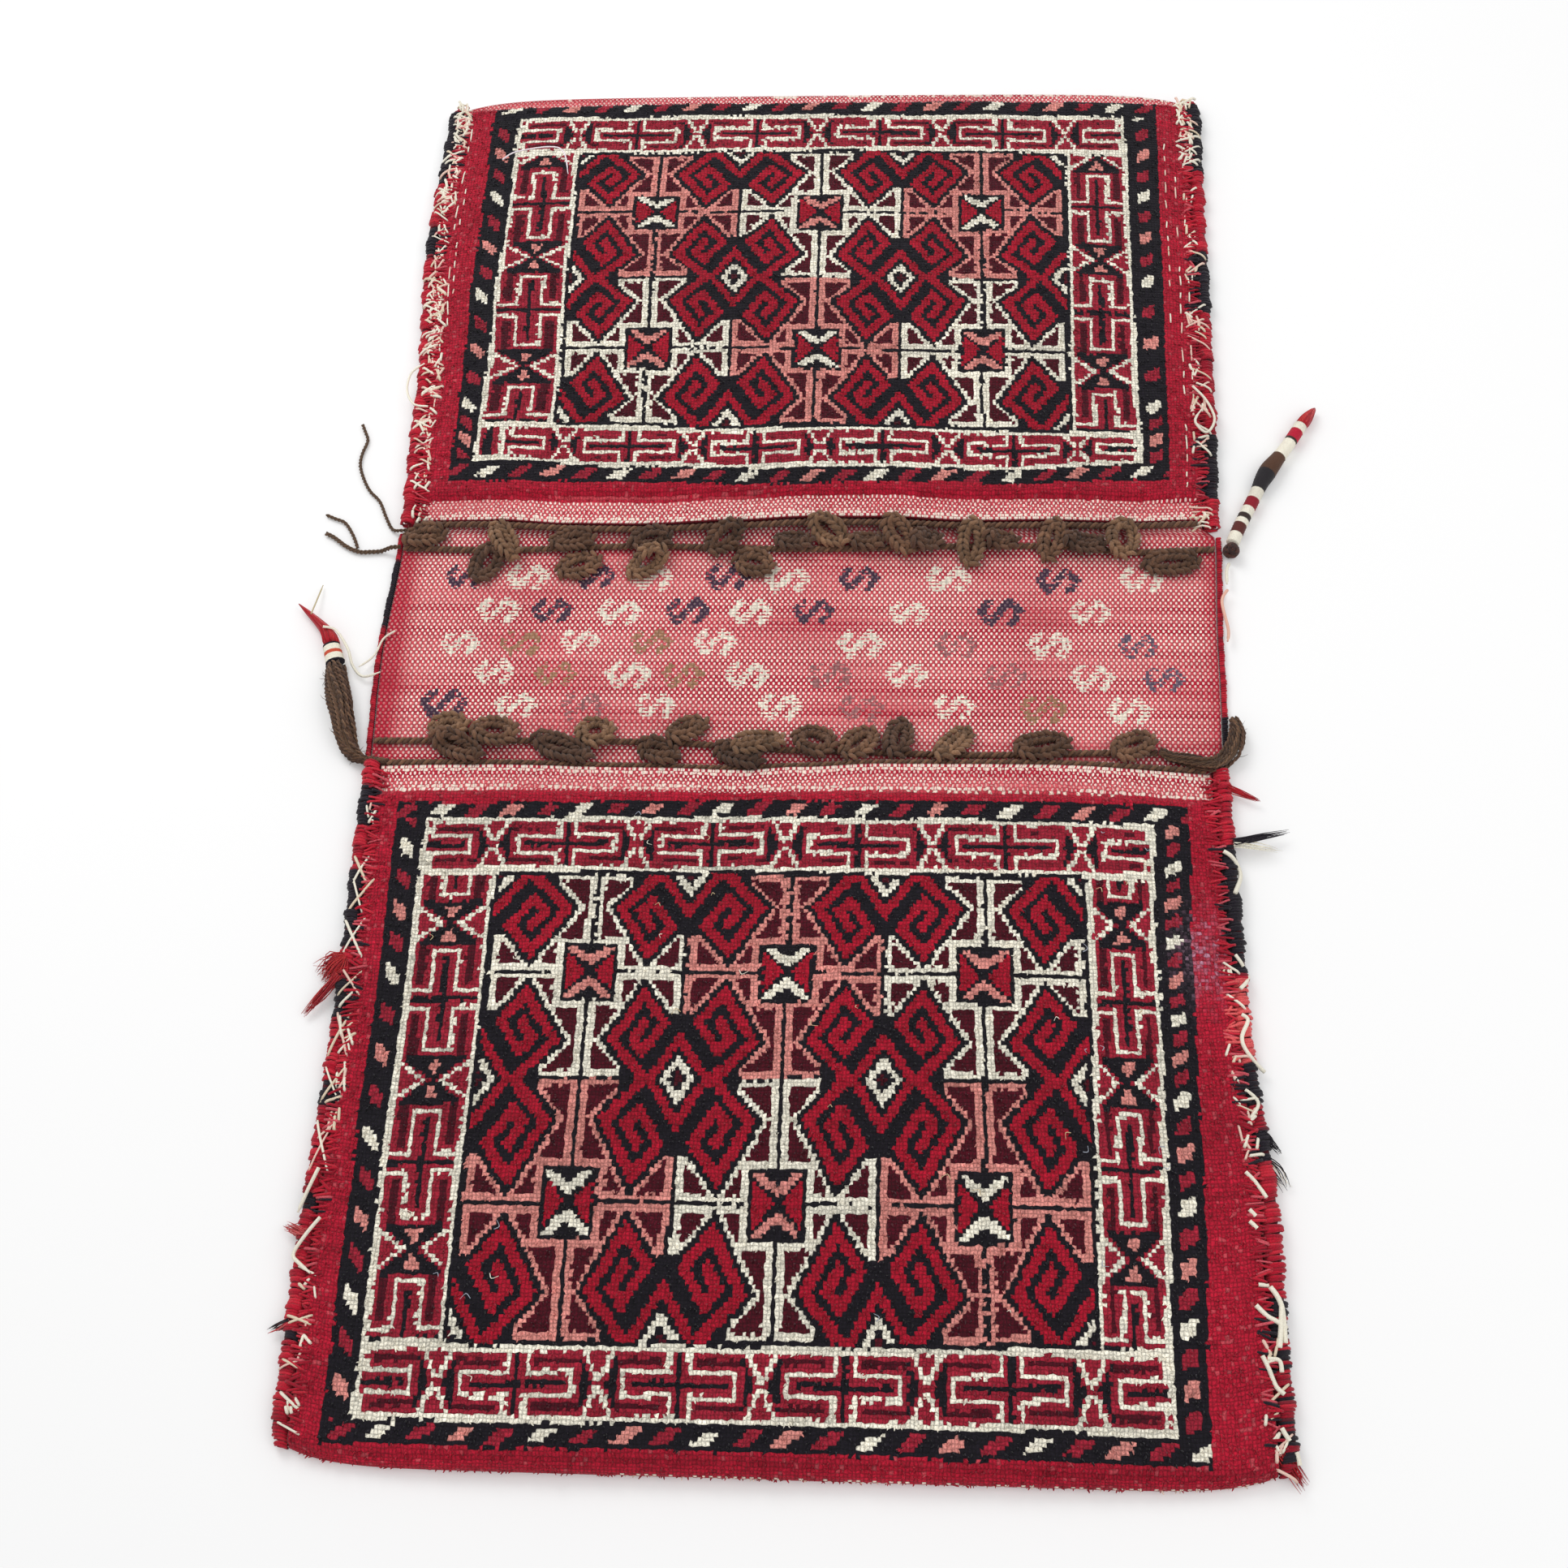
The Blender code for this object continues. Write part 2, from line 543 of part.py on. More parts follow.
def closures(pocket, loops, right_reach):
    """The cord at the mouth, the cord over the bridge, and the braided loops on them."""
    brown = material("brown_wool", (0.09, 0.06, 0.04), 0.95)
    pile = Pile()
    round_section = [CORD_RADIUS] * CORD_POINTS
    cords = {"mouth_cord": mouth_cord_path(pocket), "bridge_cord": bridge_cord_path(pocket, right_reach)}
    for name, path in cords.items():
        loft(f"{pocket.name}_{name}", tube_rings(path, round_section, round_section, 5), brown)
        pile.add(path, CORD_RADIUS, CORD_RADIUS)
    for number, loop in enumerate(loops, 1):
        path = laid_loop(pile, pocket, loop)
        lumps = [1.0 if k % 2 else 0.94 for k in range(LOOP_POINTS)]
        wide = [BRAID_HALF_WIDTH * s for s in lumps]
        high = [BRAID_HALF_HEIGHT * s for s in lumps]
        loft(f"{pocket.name}_loop_{number}", tube_rings(path, wide, high, 5, True), brown, closed=True)
        pile.add(path, BRAID_HALF_WIDTH, BRAID_HALF_HEIGHT, closed=True)
    return pile


def beside(side, route):
    """A route's points in the bag's frame, from distances outwards from the half width."""
    return [(side * (HALF_WIDTH + out), *rest) for out, *rest in route]


def free_cord(name, route, radius, points, finish):
    """A loose cord end that lies on the surface under the bag, as a bevelled curve."""
    curve = bpy.data.curves.new(name, "CURVE")
    curve.dimensions = "3D"
    curve.bevel_depth = radius
    curve.bevel_resolution = 2
    curve.use_fill_caps = True
    path = smooth_route(route, points)
    spline = curve.splines.new("POLY")
    spline.points.add(len(path) - 1)
    for point, place in zip(spline.points, path):
        point.co = (place.x, place.y, place.z + radius, 1.0)
    curve.materials.append(finish)
    made = bpy.data.objects.new(name, curve)
    bpy.context.scene.collection.objects.link(made)


def hank(name, route, radii, points, sides, finish, flat=0.85, pile=None):
    """A loose bundle of wool, thick or thin along its route, a little flattened by lying."""
    path = smooth_route(route, points)
    spots = [(k / (len(radii) - 1), r) for k, r in enumerate(radii)]
    thick = [wander(spots, k / (points - 1)) for k in range(points)]
    if pile:
        placed = [Vector((p.x, p.y, pile.height(p.x, p.y, r, r * flat))) for p, r in zip(path, thick)]
    else:
        placed = [Vector((p.x, p.y, p.z + r * flat)) for p, r in zip(path, thick)]
    loft(name, tube_rings(placed, thick, [r * flat for r in thick], sides), finish)


def loose_ends(lower_pile):
    brown = material("brown_wool", (0.09, 0.06, 0.04), 0.95)
    red = material("crimson_wool", (0.42, 0.02, 0.05), 0.9)
    cream = material("cream_cotton", (0.75, 0.66, 0.50), 0.9)
    free_cord("upper_left_tail", beside(-1, THIN_TAIL), THIN_TAIL_RADIUS, 30, brown)
    free_cord("upper_left_fork", beside(-1, FORK), FORK_RADIUS, 18, brown)
    free_cord("upper_left_fork_prong", beside(-1, FORK_PRONG), FORK_RADIUS * 0.8, 12, brown)
    free_cord("upper_right_cord", beside(1, WRAPPED_CORD), WRAPPED_CORD_RADIUS, 12, cream)
    knot()
    tip_radii = (WRAPPED_CORD_RADIUS, WRAPPED_CORD_RADIUS * 0.8, 0.0012)
    hank("upper_right_tip", beside(1, WRAPPED_TIP), tip_radii, 5, 8, red, flat=1.0)
    hank("lower_left_hank", beside(-1, HANK), HANK_RADII, 12, 7, brown)
    hank("lower_left_wrap", beside(-1, TASSEL_WRAP), TASSEL_WRAP_RADII, 3, 8, cream)
    hank("lower_left_tip", beside(-1, TASSEL_TIP), TASSEL_TIP_RADII, 5, 8, red)
    hank("lower_right_hank", beside(1, RIGHT_HANK), RIGHT_HANK_RADII, 11, 7, brown, flat=0.7, pile=lower_pile)


def knot():
    """The dark knot between the bridge cord and the wrapped cord."""
    shape = bmesh.new()
    bmesh.ops.create_icosphere(shape, subdivisions=2, radius=RIGHT_KNOT_RADIUS)
    mesh = bpy.data.meshes.new("upper_right_knot")
    shape.to_mesh(mesh)
    shape.free()
    mesh.shade_smooth()
    made = bpy.data.objects.new("upper_right_knot", mesh)
    made.location = (*beside(1, [RIGHT_KNOT])[0], RIGHT_KNOT_RADIUS)
    made.data.materials.append(material("brown_wool", (0.09, 0.06, 0.04), 0.95))
    bpy.context.scene.collection.objects.link(made)


clear_scene()
woven_bag()
bindings()
cream_thread = material("cream_cotton", (0.75, 0.66, 0.50), 0.9)
for one_pocket in (UPPER, LOWER):
    for one_side in (-1, 1):
        lacing(one_pocket, one_side, cream_thread)
closures(UPPER, UPPER_LOOPS, BRIDGE_CORD_REACH)
laid_on_lower = closures(LOWER, LOWER_LOOPS, LOWER_CORD_END)
loose_ends(laid_on_lower)
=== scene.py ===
"""A woven wool saddle bag: two pile-faced pockets joined by a flat-woven bridge, lying on a pale floor."""

import math
import random

import bpy
import numpy as np
from mathutils import Matrix, Vector


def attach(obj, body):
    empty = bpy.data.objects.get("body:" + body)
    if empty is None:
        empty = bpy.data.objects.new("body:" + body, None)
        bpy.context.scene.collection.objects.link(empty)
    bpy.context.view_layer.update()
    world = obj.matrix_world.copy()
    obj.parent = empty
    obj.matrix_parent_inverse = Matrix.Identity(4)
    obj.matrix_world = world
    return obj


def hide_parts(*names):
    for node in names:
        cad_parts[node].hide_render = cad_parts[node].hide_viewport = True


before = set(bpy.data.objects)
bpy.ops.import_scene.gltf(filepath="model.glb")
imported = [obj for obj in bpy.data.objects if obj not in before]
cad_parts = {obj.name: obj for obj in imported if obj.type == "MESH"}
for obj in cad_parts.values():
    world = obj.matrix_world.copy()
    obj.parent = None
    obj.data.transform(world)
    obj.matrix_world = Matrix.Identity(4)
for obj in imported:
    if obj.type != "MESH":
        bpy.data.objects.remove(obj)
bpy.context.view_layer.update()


def in_scene(name, data):
    """An object for a mesh, light or camera, linked into the scene."""
    made = bpy.data.objects.new(name, data)
    bpy.context.scene.collection.objects.link(made)
    return made


def dress(piece, node):
    """Makes a piece ride the part's one body and stand in for a node."""
    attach(piece, "root")
    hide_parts(node)
    return piece


class Graph:
    """Adds nodes to a shader or geometry tree, each with its settings and inputs in one call."""

    def __init__(self, tree):
        self.nodes, self.links = tree.nodes, tree.links

    def give(self, socket, value):
        """Feeds a socket from another node's output, or with a plain value."""
        if isinstance(value, bpy.types.NodeSocket):
            self.links.new(value, socket)
        else:
            socket.default_value = value

    def add(self, kind, inputs=(), **settings):
        made = self.nodes.new(kind)
        for key, value in settings.items():
            setattr(made, key, value)
        for socket, value in dict(inputs).items():
            self.give(made.inputs[socket], value)
        return made

    def math(self, operation, *values):
        return self.add("ShaderNodeMath", enumerate(values), operation=operation).outputs[0]

    def vector(self, operation, a, b):
        second = "Scale" if operation == "SCALE" else 1
        return self.add("ShaderNodeVectorMath", {0: a, second: b}, operation=operation).outputs[0]

    def shader(self, values):
        """Feeds the material's own shader."""
        for socket, value in values.items():
            self.give(self.nodes["Principled BSDF"].inputs[socket], value)


def new_tree(name, kind, inputs, outputs):
    """A node group from its sockets' types and values, with its graph, its inputs and its output node."""
    tree = bpy.data.node_groups.new(name, kind)
    for in_out, sockets in (("INPUT", inputs), ("OUTPUT", outputs)):
        for key, (socket_type, *value) in sockets.items():
            made = tree.interface.new_socket(name=key, in_out=in_out, socket_type="NodeSocket" + socket_type)
            if value:
                made.default_value = value[0]
    graph = Graph(tree)
    return tree, graph, graph.add("NodeGroupInput").outputs, graph.add("NodeGroupOutput").inputs


# The view. A camera stands over the lower end of the bag and looks down at it, a little from the right,
# as a person does who stands at its foot.
CAMERA_PLACE = (0.0684, -0.7164, 1.2227)
CAMERA_YAW, CAMERA_TILT, CAMERA_ROLL = -0.12507, 0.47821, -0.10079

camera = in_scene("photo_camera", bpy.data.cameras.new("photo_camera"))
camera.data.sensor_width = 36
camera.data.lens = 46.58
camera.matrix_world = (Matrix.Translation(CAMERA_PLACE) @ Matrix.Rotation(-CAMERA_YAW, 4, "Z")
                       @ Matrix.Rotation(CAMERA_TILT, 4, "X") @ Matrix.Rotation(CAMERA_ROLL, 4, "Z"))
bpy.context.scene.camera = camera


# The wool. Every yarn and every knot of the bag is dyed sheep's wool, or undyed goat hair and cotton.
# One group gives them all their fine fibres: lighter and darker streaks, and the fuzz that they make.
def linear(red, green, blue):
    """A colour as seen (0 to 255) turned into the value that the shader takes."""
    shares = [c / 255 for c in (red, green, blue)]
    return tuple(c / 12.92 if c <= 0.04045 else ((c + 0.055) / 1.055) ** 2.4 for c in shares)


CRIMSON = linear(178, 22, 48)
BRIGHT_RED = linear(168, 16, 42)
BORDER_RED = linear(158, 32, 52)
NAVY = linear(24, 20, 28)
CREAM = linear(246, 240, 222)
SALMON = linear(222, 143, 134)
MAROON = linear(78, 8, 26)
BROWN = linear(98, 74, 56)
PINK_WEAVE = linear(214, 90, 98)
RED_WEAVE = linear(184, 30, 54)
WARP_CREAM = linear(255, 236, 226)


def make_fibre_group():
    """Streaks of light and dark fibre over a dye, and their height, for any wool or cotton."""
    group, graph, given, out = new_tree("wool_fibres", "ShaderNodeTree", {
        "Place": ("Vector",), "Dye": ("Color", (1, 1, 1, 1)), "Fibre Scale": ("Float", 900.0),
        "Streak": ("Float", 0.35), "Abrash Scale": ("Float", 14.0), "Abrash": ("Float", 0.18)},
        {"Colour": ("Color",), "Height": ("Float",)})

    def noise(scale, detail):
        return graph.add("ShaderNodeTexNoise", {"Vector": given["Place"], "Scale": given[scale],
                                                "Detail": detail}).outputs["Fac"]

    def shade(value, strength, colour):
        """A dye made lighter and darker about its middle by a value."""
        scaled = graph.math("MULTIPLY", graph.math("SUBTRACT", value, 0.5), given[strength])
        return graph.vector("SCALE", colour, graph.math("MULTIPLY_ADD", scaled, 3.0, 1.0))

    fine, broad = noise("Fibre Scale", 3.0), noise("Abrash Scale", 2.0)
    graph.give(out["Colour"], shade(broad, "Abrash", shade(fine, "Streak", given["Dye"])))
    graph.give(out["Height"], fine)
    return group


fibre_group = make_fibre_group()


def wool(name, roughness=0.9, fibre_scale=900.0, streak=0.35, abrash=0.18, sheen=0.15, bump=0.5, weave=None):
    """A wool or cotton finish, dyed from the piece's own 'dye' attribute.

    A weave is a function that lays its own relief over the fibres' height, and its own painted shade and
    highlight, with any dots of warp, over their colour.
    """
    made = bpy.data.materials.new(name)
    made.use_nodes = True
    graph = Graph(made.node_tree)
    fibres = graph.add("ShaderNodeGroup", {
        "Place": graph.add("ShaderNodeTexCoord").outputs["Object"],
        "Dye": graph.add("ShaderNodeAttribute", attribute_name="dye").outputs["Color"],
        "Fibre Scale": fibre_scale, "Streak": streak, "Abrash": abrash}, node_tree=fibre_group)
    height, colour = fibres.outputs["Height"], fibres.outputs["Colour"]
    if weave:
        height, colour = weave(graph, height, colour)
    relief = graph.add("ShaderNodeBump", {"Strength": bump, "Distance": 0.0008, "Height": height})
    graph.shader({"Roughness": roughness, "Sheen Weight": sheen, "Sheen Roughness": 0.5,
                  "Specular IOR Level": 0.25, "Base Color": colour, "Normal": relief.outputs["Normal"]})
    return made


# The outline of the bag. It is an old handwoven piece, so its edges stray, its mouths wave, and its
# empty pockets stand a little open over the back. All other pieces are placed on these shapes.
HALF_LENGTH, HALF_WIDTH = 0.540, 0.300
CLEARANCE = 0.0003
FLAT_WEAVE, PILE_WEAVE, PILE_STEP = 0.003, 0.007, 0.004
SIDE_GAP, FOLD_GAP, CORNER_ROUND = 0.0003, 0.0055, 0.010
CROWN_POWER, RIPPLE = 3.2, 0.0007
BINDING_WIDTH, BINDING_HEIGHT = 0.0135, 0.0115
BRIDGE_EDGE_WIDTH, BRIDGE_EDGE_HEIGHT = 0.005, 0.0045
EDGE_SLACK, EDGE_EASE = 0.0005, 0.006
LEFT_WANDER = ((-1.0, -0.001), (-0.75, 0.0), (-0.48, -0.002), (-0.17, 0.001), (0.02, 0.004), (0.20, 0.0),
               (0.42, 0.003), (0.72, 0.012), (1.0, 0.008))
RIGHT_WANDER = ((-1.0, 0.001), (-0.70, 0.0), (-0.46, -0.008), (-0.16, -0.010), (0.02, -0.008),
                (0.23, -0.004), (0.42, -0.001), (0.70, 0.002), (1.0, 0.005))


class Pocket:
    """One pocket: which way it lies, its mouth, where its pile starts and ends, and how far it gapes."""

    def __init__(self, name, side, mouth, pile_start, pile_end, mouth_gap, middle_gap, mouth_wander):
        self.name, self.side, self.mouth = name, side, mouth
        self.pile_start, self.pile_end = pile_start, pile_end
        self.mouth_gap, self.middle_gap, self.mouth_wander = mouth_gap, middle_gap, mouth_wander


UPPER = Pocket("upper", 1, 0.121, 0.143, 0.524, 0.0075, 0.0105, (
    (-1.0, 0.001), (-0.8, 0.0), (-0.6, -0.004), (-0.4, -0.005), (-0.2, -0.002), (0.0, 0.0015),
    (0.2, 0.0015), (0.4, -0.001), (0.6, 0.0005), (0.8, 0.0), (1.0, 0.004)))
LOWER = Pocket("lower", -1, 0.0815, 0.104, 0.529, 0.0075, 0.0115, (
    (-1.0, 0.0015), (-0.75, 0.001), (-0.35, -0.0015), (-0.15, -0.003), (0.0, 0.0),
    (0.2, 0.003), (0.6, 0.0045), (1.0, 0.001)))


def wander(points, at):
    """A smooth value read between listed (place, value) points."""
    if at <= points[0][0]:
        return points[0][1]
    for (a, low), (b, high) in zip(points, points[1:]):
        if at <= b:
            t = (at - a) / (b - a)
            return low + (high - low) * (3 * t * t - 2 * t * t * t)
    return points[-1][1]


def outer_edge(side, y):
    """How far out the bag's worn edge lies at y, on the left (-1) or right (+1)."""
    return HALF_WIDTH + wander(LEFT_WANDER if side < 0 else RIGHT_WANDER, y / HALF_LENGTH)


def cloth_edge(side, y):
    return outer_edge(side, y) - BINDING_WIDTH - EDGE_SLACK


def bridge_edge(side, y):
    return outer_edge(side, y) - BRIDGE_EDGE_WIDTH - EDGE_SLACK


def edge_here(side, y):
    """The cloth's edge anywhere, easing from pocket to bridge behind each mouth."""
    for pocket in (UPPER, LOWER):
        past = pocket.side * y - (pocket.mouth - 1.5 * EDGE_EASE)
        if past > 0:
            t = min(past / EDGE_EASE, 1.0)
            return bridge_edge(side, y) * (1 - t) + cloth_edge(side, y) * t
    return bridge_edge(side, y)


def mouth_y(pocket, u):
    """Where the mouth's edge lies at a share u of the width, from -1 on the left to 1 on the right."""
    return pocket.side * pocket.mouth + wander(pocket.mouth_wander, u)


def end_y(pocket, u):
    """Where the bag ends at a share u of the width, with its round corners."""
    return pocket.side * (HALF_LENGTH - CORNER_ROUND * abs(u) ** 12)


def gape(pocket, u, y):
    """The height of the pocket's empty space at a share u of the width."""
    depth = (pocket.side * y - pocket.mouth) / (HALF_LENGTH - pocket.mouth)
    depth = min(max(depth, 0.0), 1.0)
    swell = math.sin(math.pi * min(depth * 1.15, 1.0))
    closing = min((1 - depth) / 0.16, 1.0)
    middle = pocket.mouth_gap + (pocket.middle_gap - pocket.mouth_gap) * swell
    middle = FOLD_GAP + (middle - FOLD_GAP) * closing
    crown = 1 - abs(u) ** CROWN_POWER
    ripple = RIPPLE * math.sin(9 * u + 3 * depth) * math.sin(11 * depth + 2 * u) * closing
    return SIDE_GAP + (middle + ripple) * crown


def face_thickness(pocket, y):
    inside = min(pocket.side * y - pocket.pile_start, pocket.pile_end - pocket.side * y)
    share = min(max(inside / PILE_STEP + 1, 0.0), 1.0)
    return FLAT_WEAVE + (PILE_WEAVE - FLAT_WEAVE) * share


def face_top(x, y):
    """The height of the cloth's upper surface at a place, face or bridge."""
    side = -1 if x < 0 else 1
    for pocket in (UPPER, LOWER):
        u = x / cloth_edge(side, y)
        if pocket.side * (y - mouth_y(pocket, u)) >= 0 and abs(u) <= 1:
            return FLAT_WEAVE + gape(pocket, u, y) + face_thickness(pocket, y)
    return FLAT_WEAVE


# Free cords. Two thin brown wool ends hang out at the upper left, the lower one forked, and a wound cord
# with cream, dark and red bands hangs from a knot at the upper right. They lie on the surface under the bag.
THIN_TAIL_RADIUS, FORK_RADIUS, WRAPPED_CORD_RADIUS = 0.0014, 0.0018, 0.0055
THIN_TAIL = (
    (-0.0172, 0.1188, 0.0045), (-0.0095, 0.1157, 0.0038), (-0.0020, 0.1148, 0.0034),
    (0.0055, 0.1180, 0.0001), (0.0120, 0.1300, 0.0001), (0.0180, 0.1430, 0.0001),
    (0.0265, 0.1520, 0.0001), (0.0330, 0.1640, 0.0001), (0.0370, 0.1760, 0.0001),
    (0.0365, 0.1870, 0.0001), (0.0340, 0.1980, 0.0001), (0.0370, 0.2060, 0.0001),
    (0.0400, 0.2130, 0.0001))
FORK = (
    (-0.0038, 0.0992, 0.0049), (0.0020, 0.0990, 0.0049), (0.0070, 0.0988, 0.0022),
    (0.0115, 0.0985, 0.0001), (0.0190, 0.0980, 0.0001), (0.0280, 0.0980, 0.0001),
    (0.0380, 0.1030, 0.0001), (0.0475, 0.1105, 0.0001), (0.0540, 0.1140, 0.0001))
FORK_PRONG = (
    (0.0290, 0.1014, 0.0001), (0.0335, 0.1120, 0.0001), (0.0410, 0.1235, 0.0001),
    (0.0485, 0.1270, 0.0001), (0.0560, 0.1305, 0.0001))
WRAPPED_CORD = (
    (0.0021, 0.1056, 0.0001), (0.0090, 0.1220, 0.0001), (0.0190, 0.1425, 0.0001),
    (0.0300, 0.1660, 0.0001), (0.0460, 0.1890, 0.0001), (0.0575, 0.2080, 0.0001))


def beside(side, route):
    """A route's points in the bag's frame, from distances outwards from the half width."""
    return [(side * (HALF_WIDTH + out), *rest) for out, *rest in route]


def smooth_route(points, count):
    """Points read evenly from a smooth curve through a route's own points."""
    padded = [points[0], *points, points[-1]]
    path = []
    for k in range(count):
        place = k / (count - 1) * (len(points) - 1)
        i = min(int(place), len(points) - 2)
        t = place - i
        a, b, c, d = (Vector(p) for p in padded[i:i + 4])
        path.append(0.5 * (2 * b + (c - a) * t + (2 * a - 5 * b + 4 * c - d) * t * t
                           + (3 * b - a - 3 * c + d) * t * t * t))
    return path


def raised(path, height):
    return [Vector((p.x, p.y, p.z + height)) for p in path]


def dye_points(mesh, dyes):
    """Gives each point of a mesh its dye."""
    colours = mesh.attributes.new("dye", "FLOAT_COLOR", "POINT")
    colours.data.foreach_set("color", [c for dye in dyes for c in (*dye, 1.0)])


class Yarns:
    """Collects tubes of yarn into one mesh, with a dye on each."""

    def __init__(self):
        self.verts, self.faces, self.dyes = [], [], []

    def tube(self, path, radii, dyes, sides=6, flat=1.0, closed=False):
        """A yarn along a path. Radii and dyes are one value, or one for each point."""
        count = len(path)
        radii = radii if isinstance(radii, (list, tuple)) else [radii] * count
        dyes = dyes if isinstance(dyes, list) else [dyes] * count
        start = len(self.verts)
        for i, point in enumerate(path):
            before = path[i - 1] if i or closed else path[i]
            after = path[(i + 1) % count] if i + 1 < count or closed else path[i]
            along = (after - before).normalized()
            across = along.cross(Vector((0, 0, 1)))
            across = across.normalized() if across.length > 1e-6 else Vector((1, 0, 0))
            up = across.cross(along)
            for k in range(sides):
                angle = 2 * math.pi * k / sides
                self.verts.append(point + (across * math.cos(angle) + up * flat * math.sin(angle)) * radii[i])
                self.dyes.append(dyes[i])
        for i in range(count if closed else count - 1):
            here, after = start + i * sides, start + (i + 1) % count * sides
            for k in range(sides):
                n = (k + 1) % sides
                self.faces.append((here + k, here + n, after + n, after + k))
        if not closed:
            self.faces.append(tuple(start + k for k in reversed(range(sides))))
            self.faces.append(tuple(start + (count - 1) * sides + k for k in range(sides)))

    def twisted(self, path, radius, dyes, plies=2, pitch=0.009, per_turn=8, sides=6, lean=0.52):
        """Plies of yarn wound round one another along a path."""
        dense = dense_path(path, pitch / per_turn)
        for ply in range(plies):
            strand = []
            for k, (point, along) in enumerate(dense):
                across = along.cross(Vector((0, 0, 1))).normalized()
                up = across.cross(along)
                angle = 2 * math.pi * (k / per_turn + ply / plies)
                strand.append(point + (across * math.cos(angle) + up * math.sin(angle)) * radius * (1 - lean))
            dye = dyes[ply % len(dyes)] if isinstance(dyes, list) else dyes
            self.tube(strand, radius * lean, dye, sides)

    def build(self, name, finish):
        mesh = bpy.data.meshes.new(name)
        mesh.from_pydata([tuple(v) for v in self.verts], [], self.faces)
        dye_points(mesh, self.dyes)
        mesh.shade_smooth()
        mesh.materials.append(finish)
        return in_scene(name, mesh)


def dense_path(path, step):
    """Evenly spaced (point, direction) pairs along a path."""
    lengths = [0.0]
    for a, b in zip(path, path[1:]):
        lengths.append(lengths[-1] + (b - a).length)
    count = max(int(lengths[-1] / step), 2)
    pairs = []
    for k in range(count + 1):
        at = lengths[-1] * k / count
        i = 0
        while i < len(path) - 2 and lengths[i + 1] < at:
            i += 1
        share = (at - lengths[i]) / max(lengths[i + 1] - lengths[i], 1e-9)
        pairs.append((path[i].lerp(path[i + 1], share), (path[i + 1] - path[i]).normalized()))
    return pairs


brown_wool = wool("brown_wool_yarn", fibre_scale=1300, streak=0.55, abrash=0.3, bump=0.8)
fibre_wool = wool("loose_wool_fibres", fibre_scale=1500, streak=0.3, abrash=0.2, sheen=0.3, bump=0.3)


def brown_tail(name, route, radius, points):
    """One thin loose end, of two plies wound together."""
    path = raised(smooth_route(beside(-1, route), points), radius)
    yarns = Yarns()
    yarns.twisted(path, radius, [BROWN, linear(96, 76, 60)], pitch=0.006)
    piece = dress(yarns.build(name + "_yarn", brown_wool), name)


brown_tail("upper_left_tail", THIN_TAIL, THIN_TAIL_RADIUS, 30)
brown_tail("upper_left_fork", FORK, FORK_RADIUS, 18)
brown_tail("upper_left_fork_prong", FORK_PRONG, FORK_RADIUS * 0.8, 12)

WOUND_RED, WOUND_DARK = linear(150, 26, 44), linear(58, 44, 40)
WRAPPED_BANDS = (
    (0.07, CREAM), (0.14, linear(96, 44, 40)), (0.17, CREAM), (0.22, WOUND_DARK), (0.28, CREAM),
    (0.34, WOUND_RED), (0.43, CREAM), (0.58, linear(44, 40, 44)), (0.72, linear(92, 62, 46)), (0.85, CREAM),
    (0.88, WOUND_DARK), (0.95, linear(190, 24, 54)), (1.01, CREAM))


def wrapped_cord():
    """The cord at the upper right, wound round and round with thread in bands."""
    path = raised(smooth_route(beside(1, WRAPPED_CORD), 12), WRAPPED_CORD_RADIUS)
    yarns = Yarns()
    dense = dense_path(path, 0.0022)
    core, radii, dyes = [], [], []
    for k, (point, along) in enumerate(dense):
        share = k / (len(dense) - 1)
        dye = next(band for end, band in WRAPPED_BANDS if share <= end)
        bulge = 0.84 + 0.30 * math.exp(-((share - 0.58) / 0.11) ** 2)
        for part, full in ((0.0, 0.90), (0.0011, 1.0)):
            core.append(point + along * part)
            radii.append(WRAPPED_CORD_RADIUS * bulge * full * 1.08)
            dyes.append(dye)
    yarns.tube(core, radii, dyes, 12)
    thread = wool("wound_thread", fibre_scale=1800, streak=0.3, abrash=0.2, bump=0.6)
    return dress(yarns.build("wound_cord", thread), "upper_right_cord"), path


wound_cord, wound_path = wrapped_cord()


def tuft(yarns, start, end, spread, count, dyes, radius=0.00035, seed=1, droop=0.0, root_radius=0.003):
    """A brush of loose wool fibres that fan out from start towards end."""
    dice = random.Random(seed)
    run = end - start
    across = Vector((-run.y, run.x, 0)).normalized()
    for _ in range(count):
        off = dice.gauss(0, 0.5)
        lift = dice.uniform(0, 1)
        reach = dice.uniform(0.6, 1.0)
        root = start + across * off * root_radius + Vector((0, 0, lift * root_radius * 1.4))
        tip = start + run * reach + across * off * spread * reach
        tip.z = max(end.z + lift * 0.002 - droop, 0.0006)
        bend = across * dice.gauss(0, spread * 0.35)
        path = []
        for k in range(6):
            t = k / 5
            point = root.lerp(tip, t) + bend * math.sin(math.pi * t)
            path.append(Vector((point.x, point.y, max(point.z, 0.0006))))
        yarns.tube(path, [radius * s for s in (1, 1, 0.95, 0.85, 0.6, 0.25)], dice.choice(dyes), 3)


RED_FIBRES = [linear(196, 30, 42), linear(170, 16, 36), linear(214, 60, 60)]


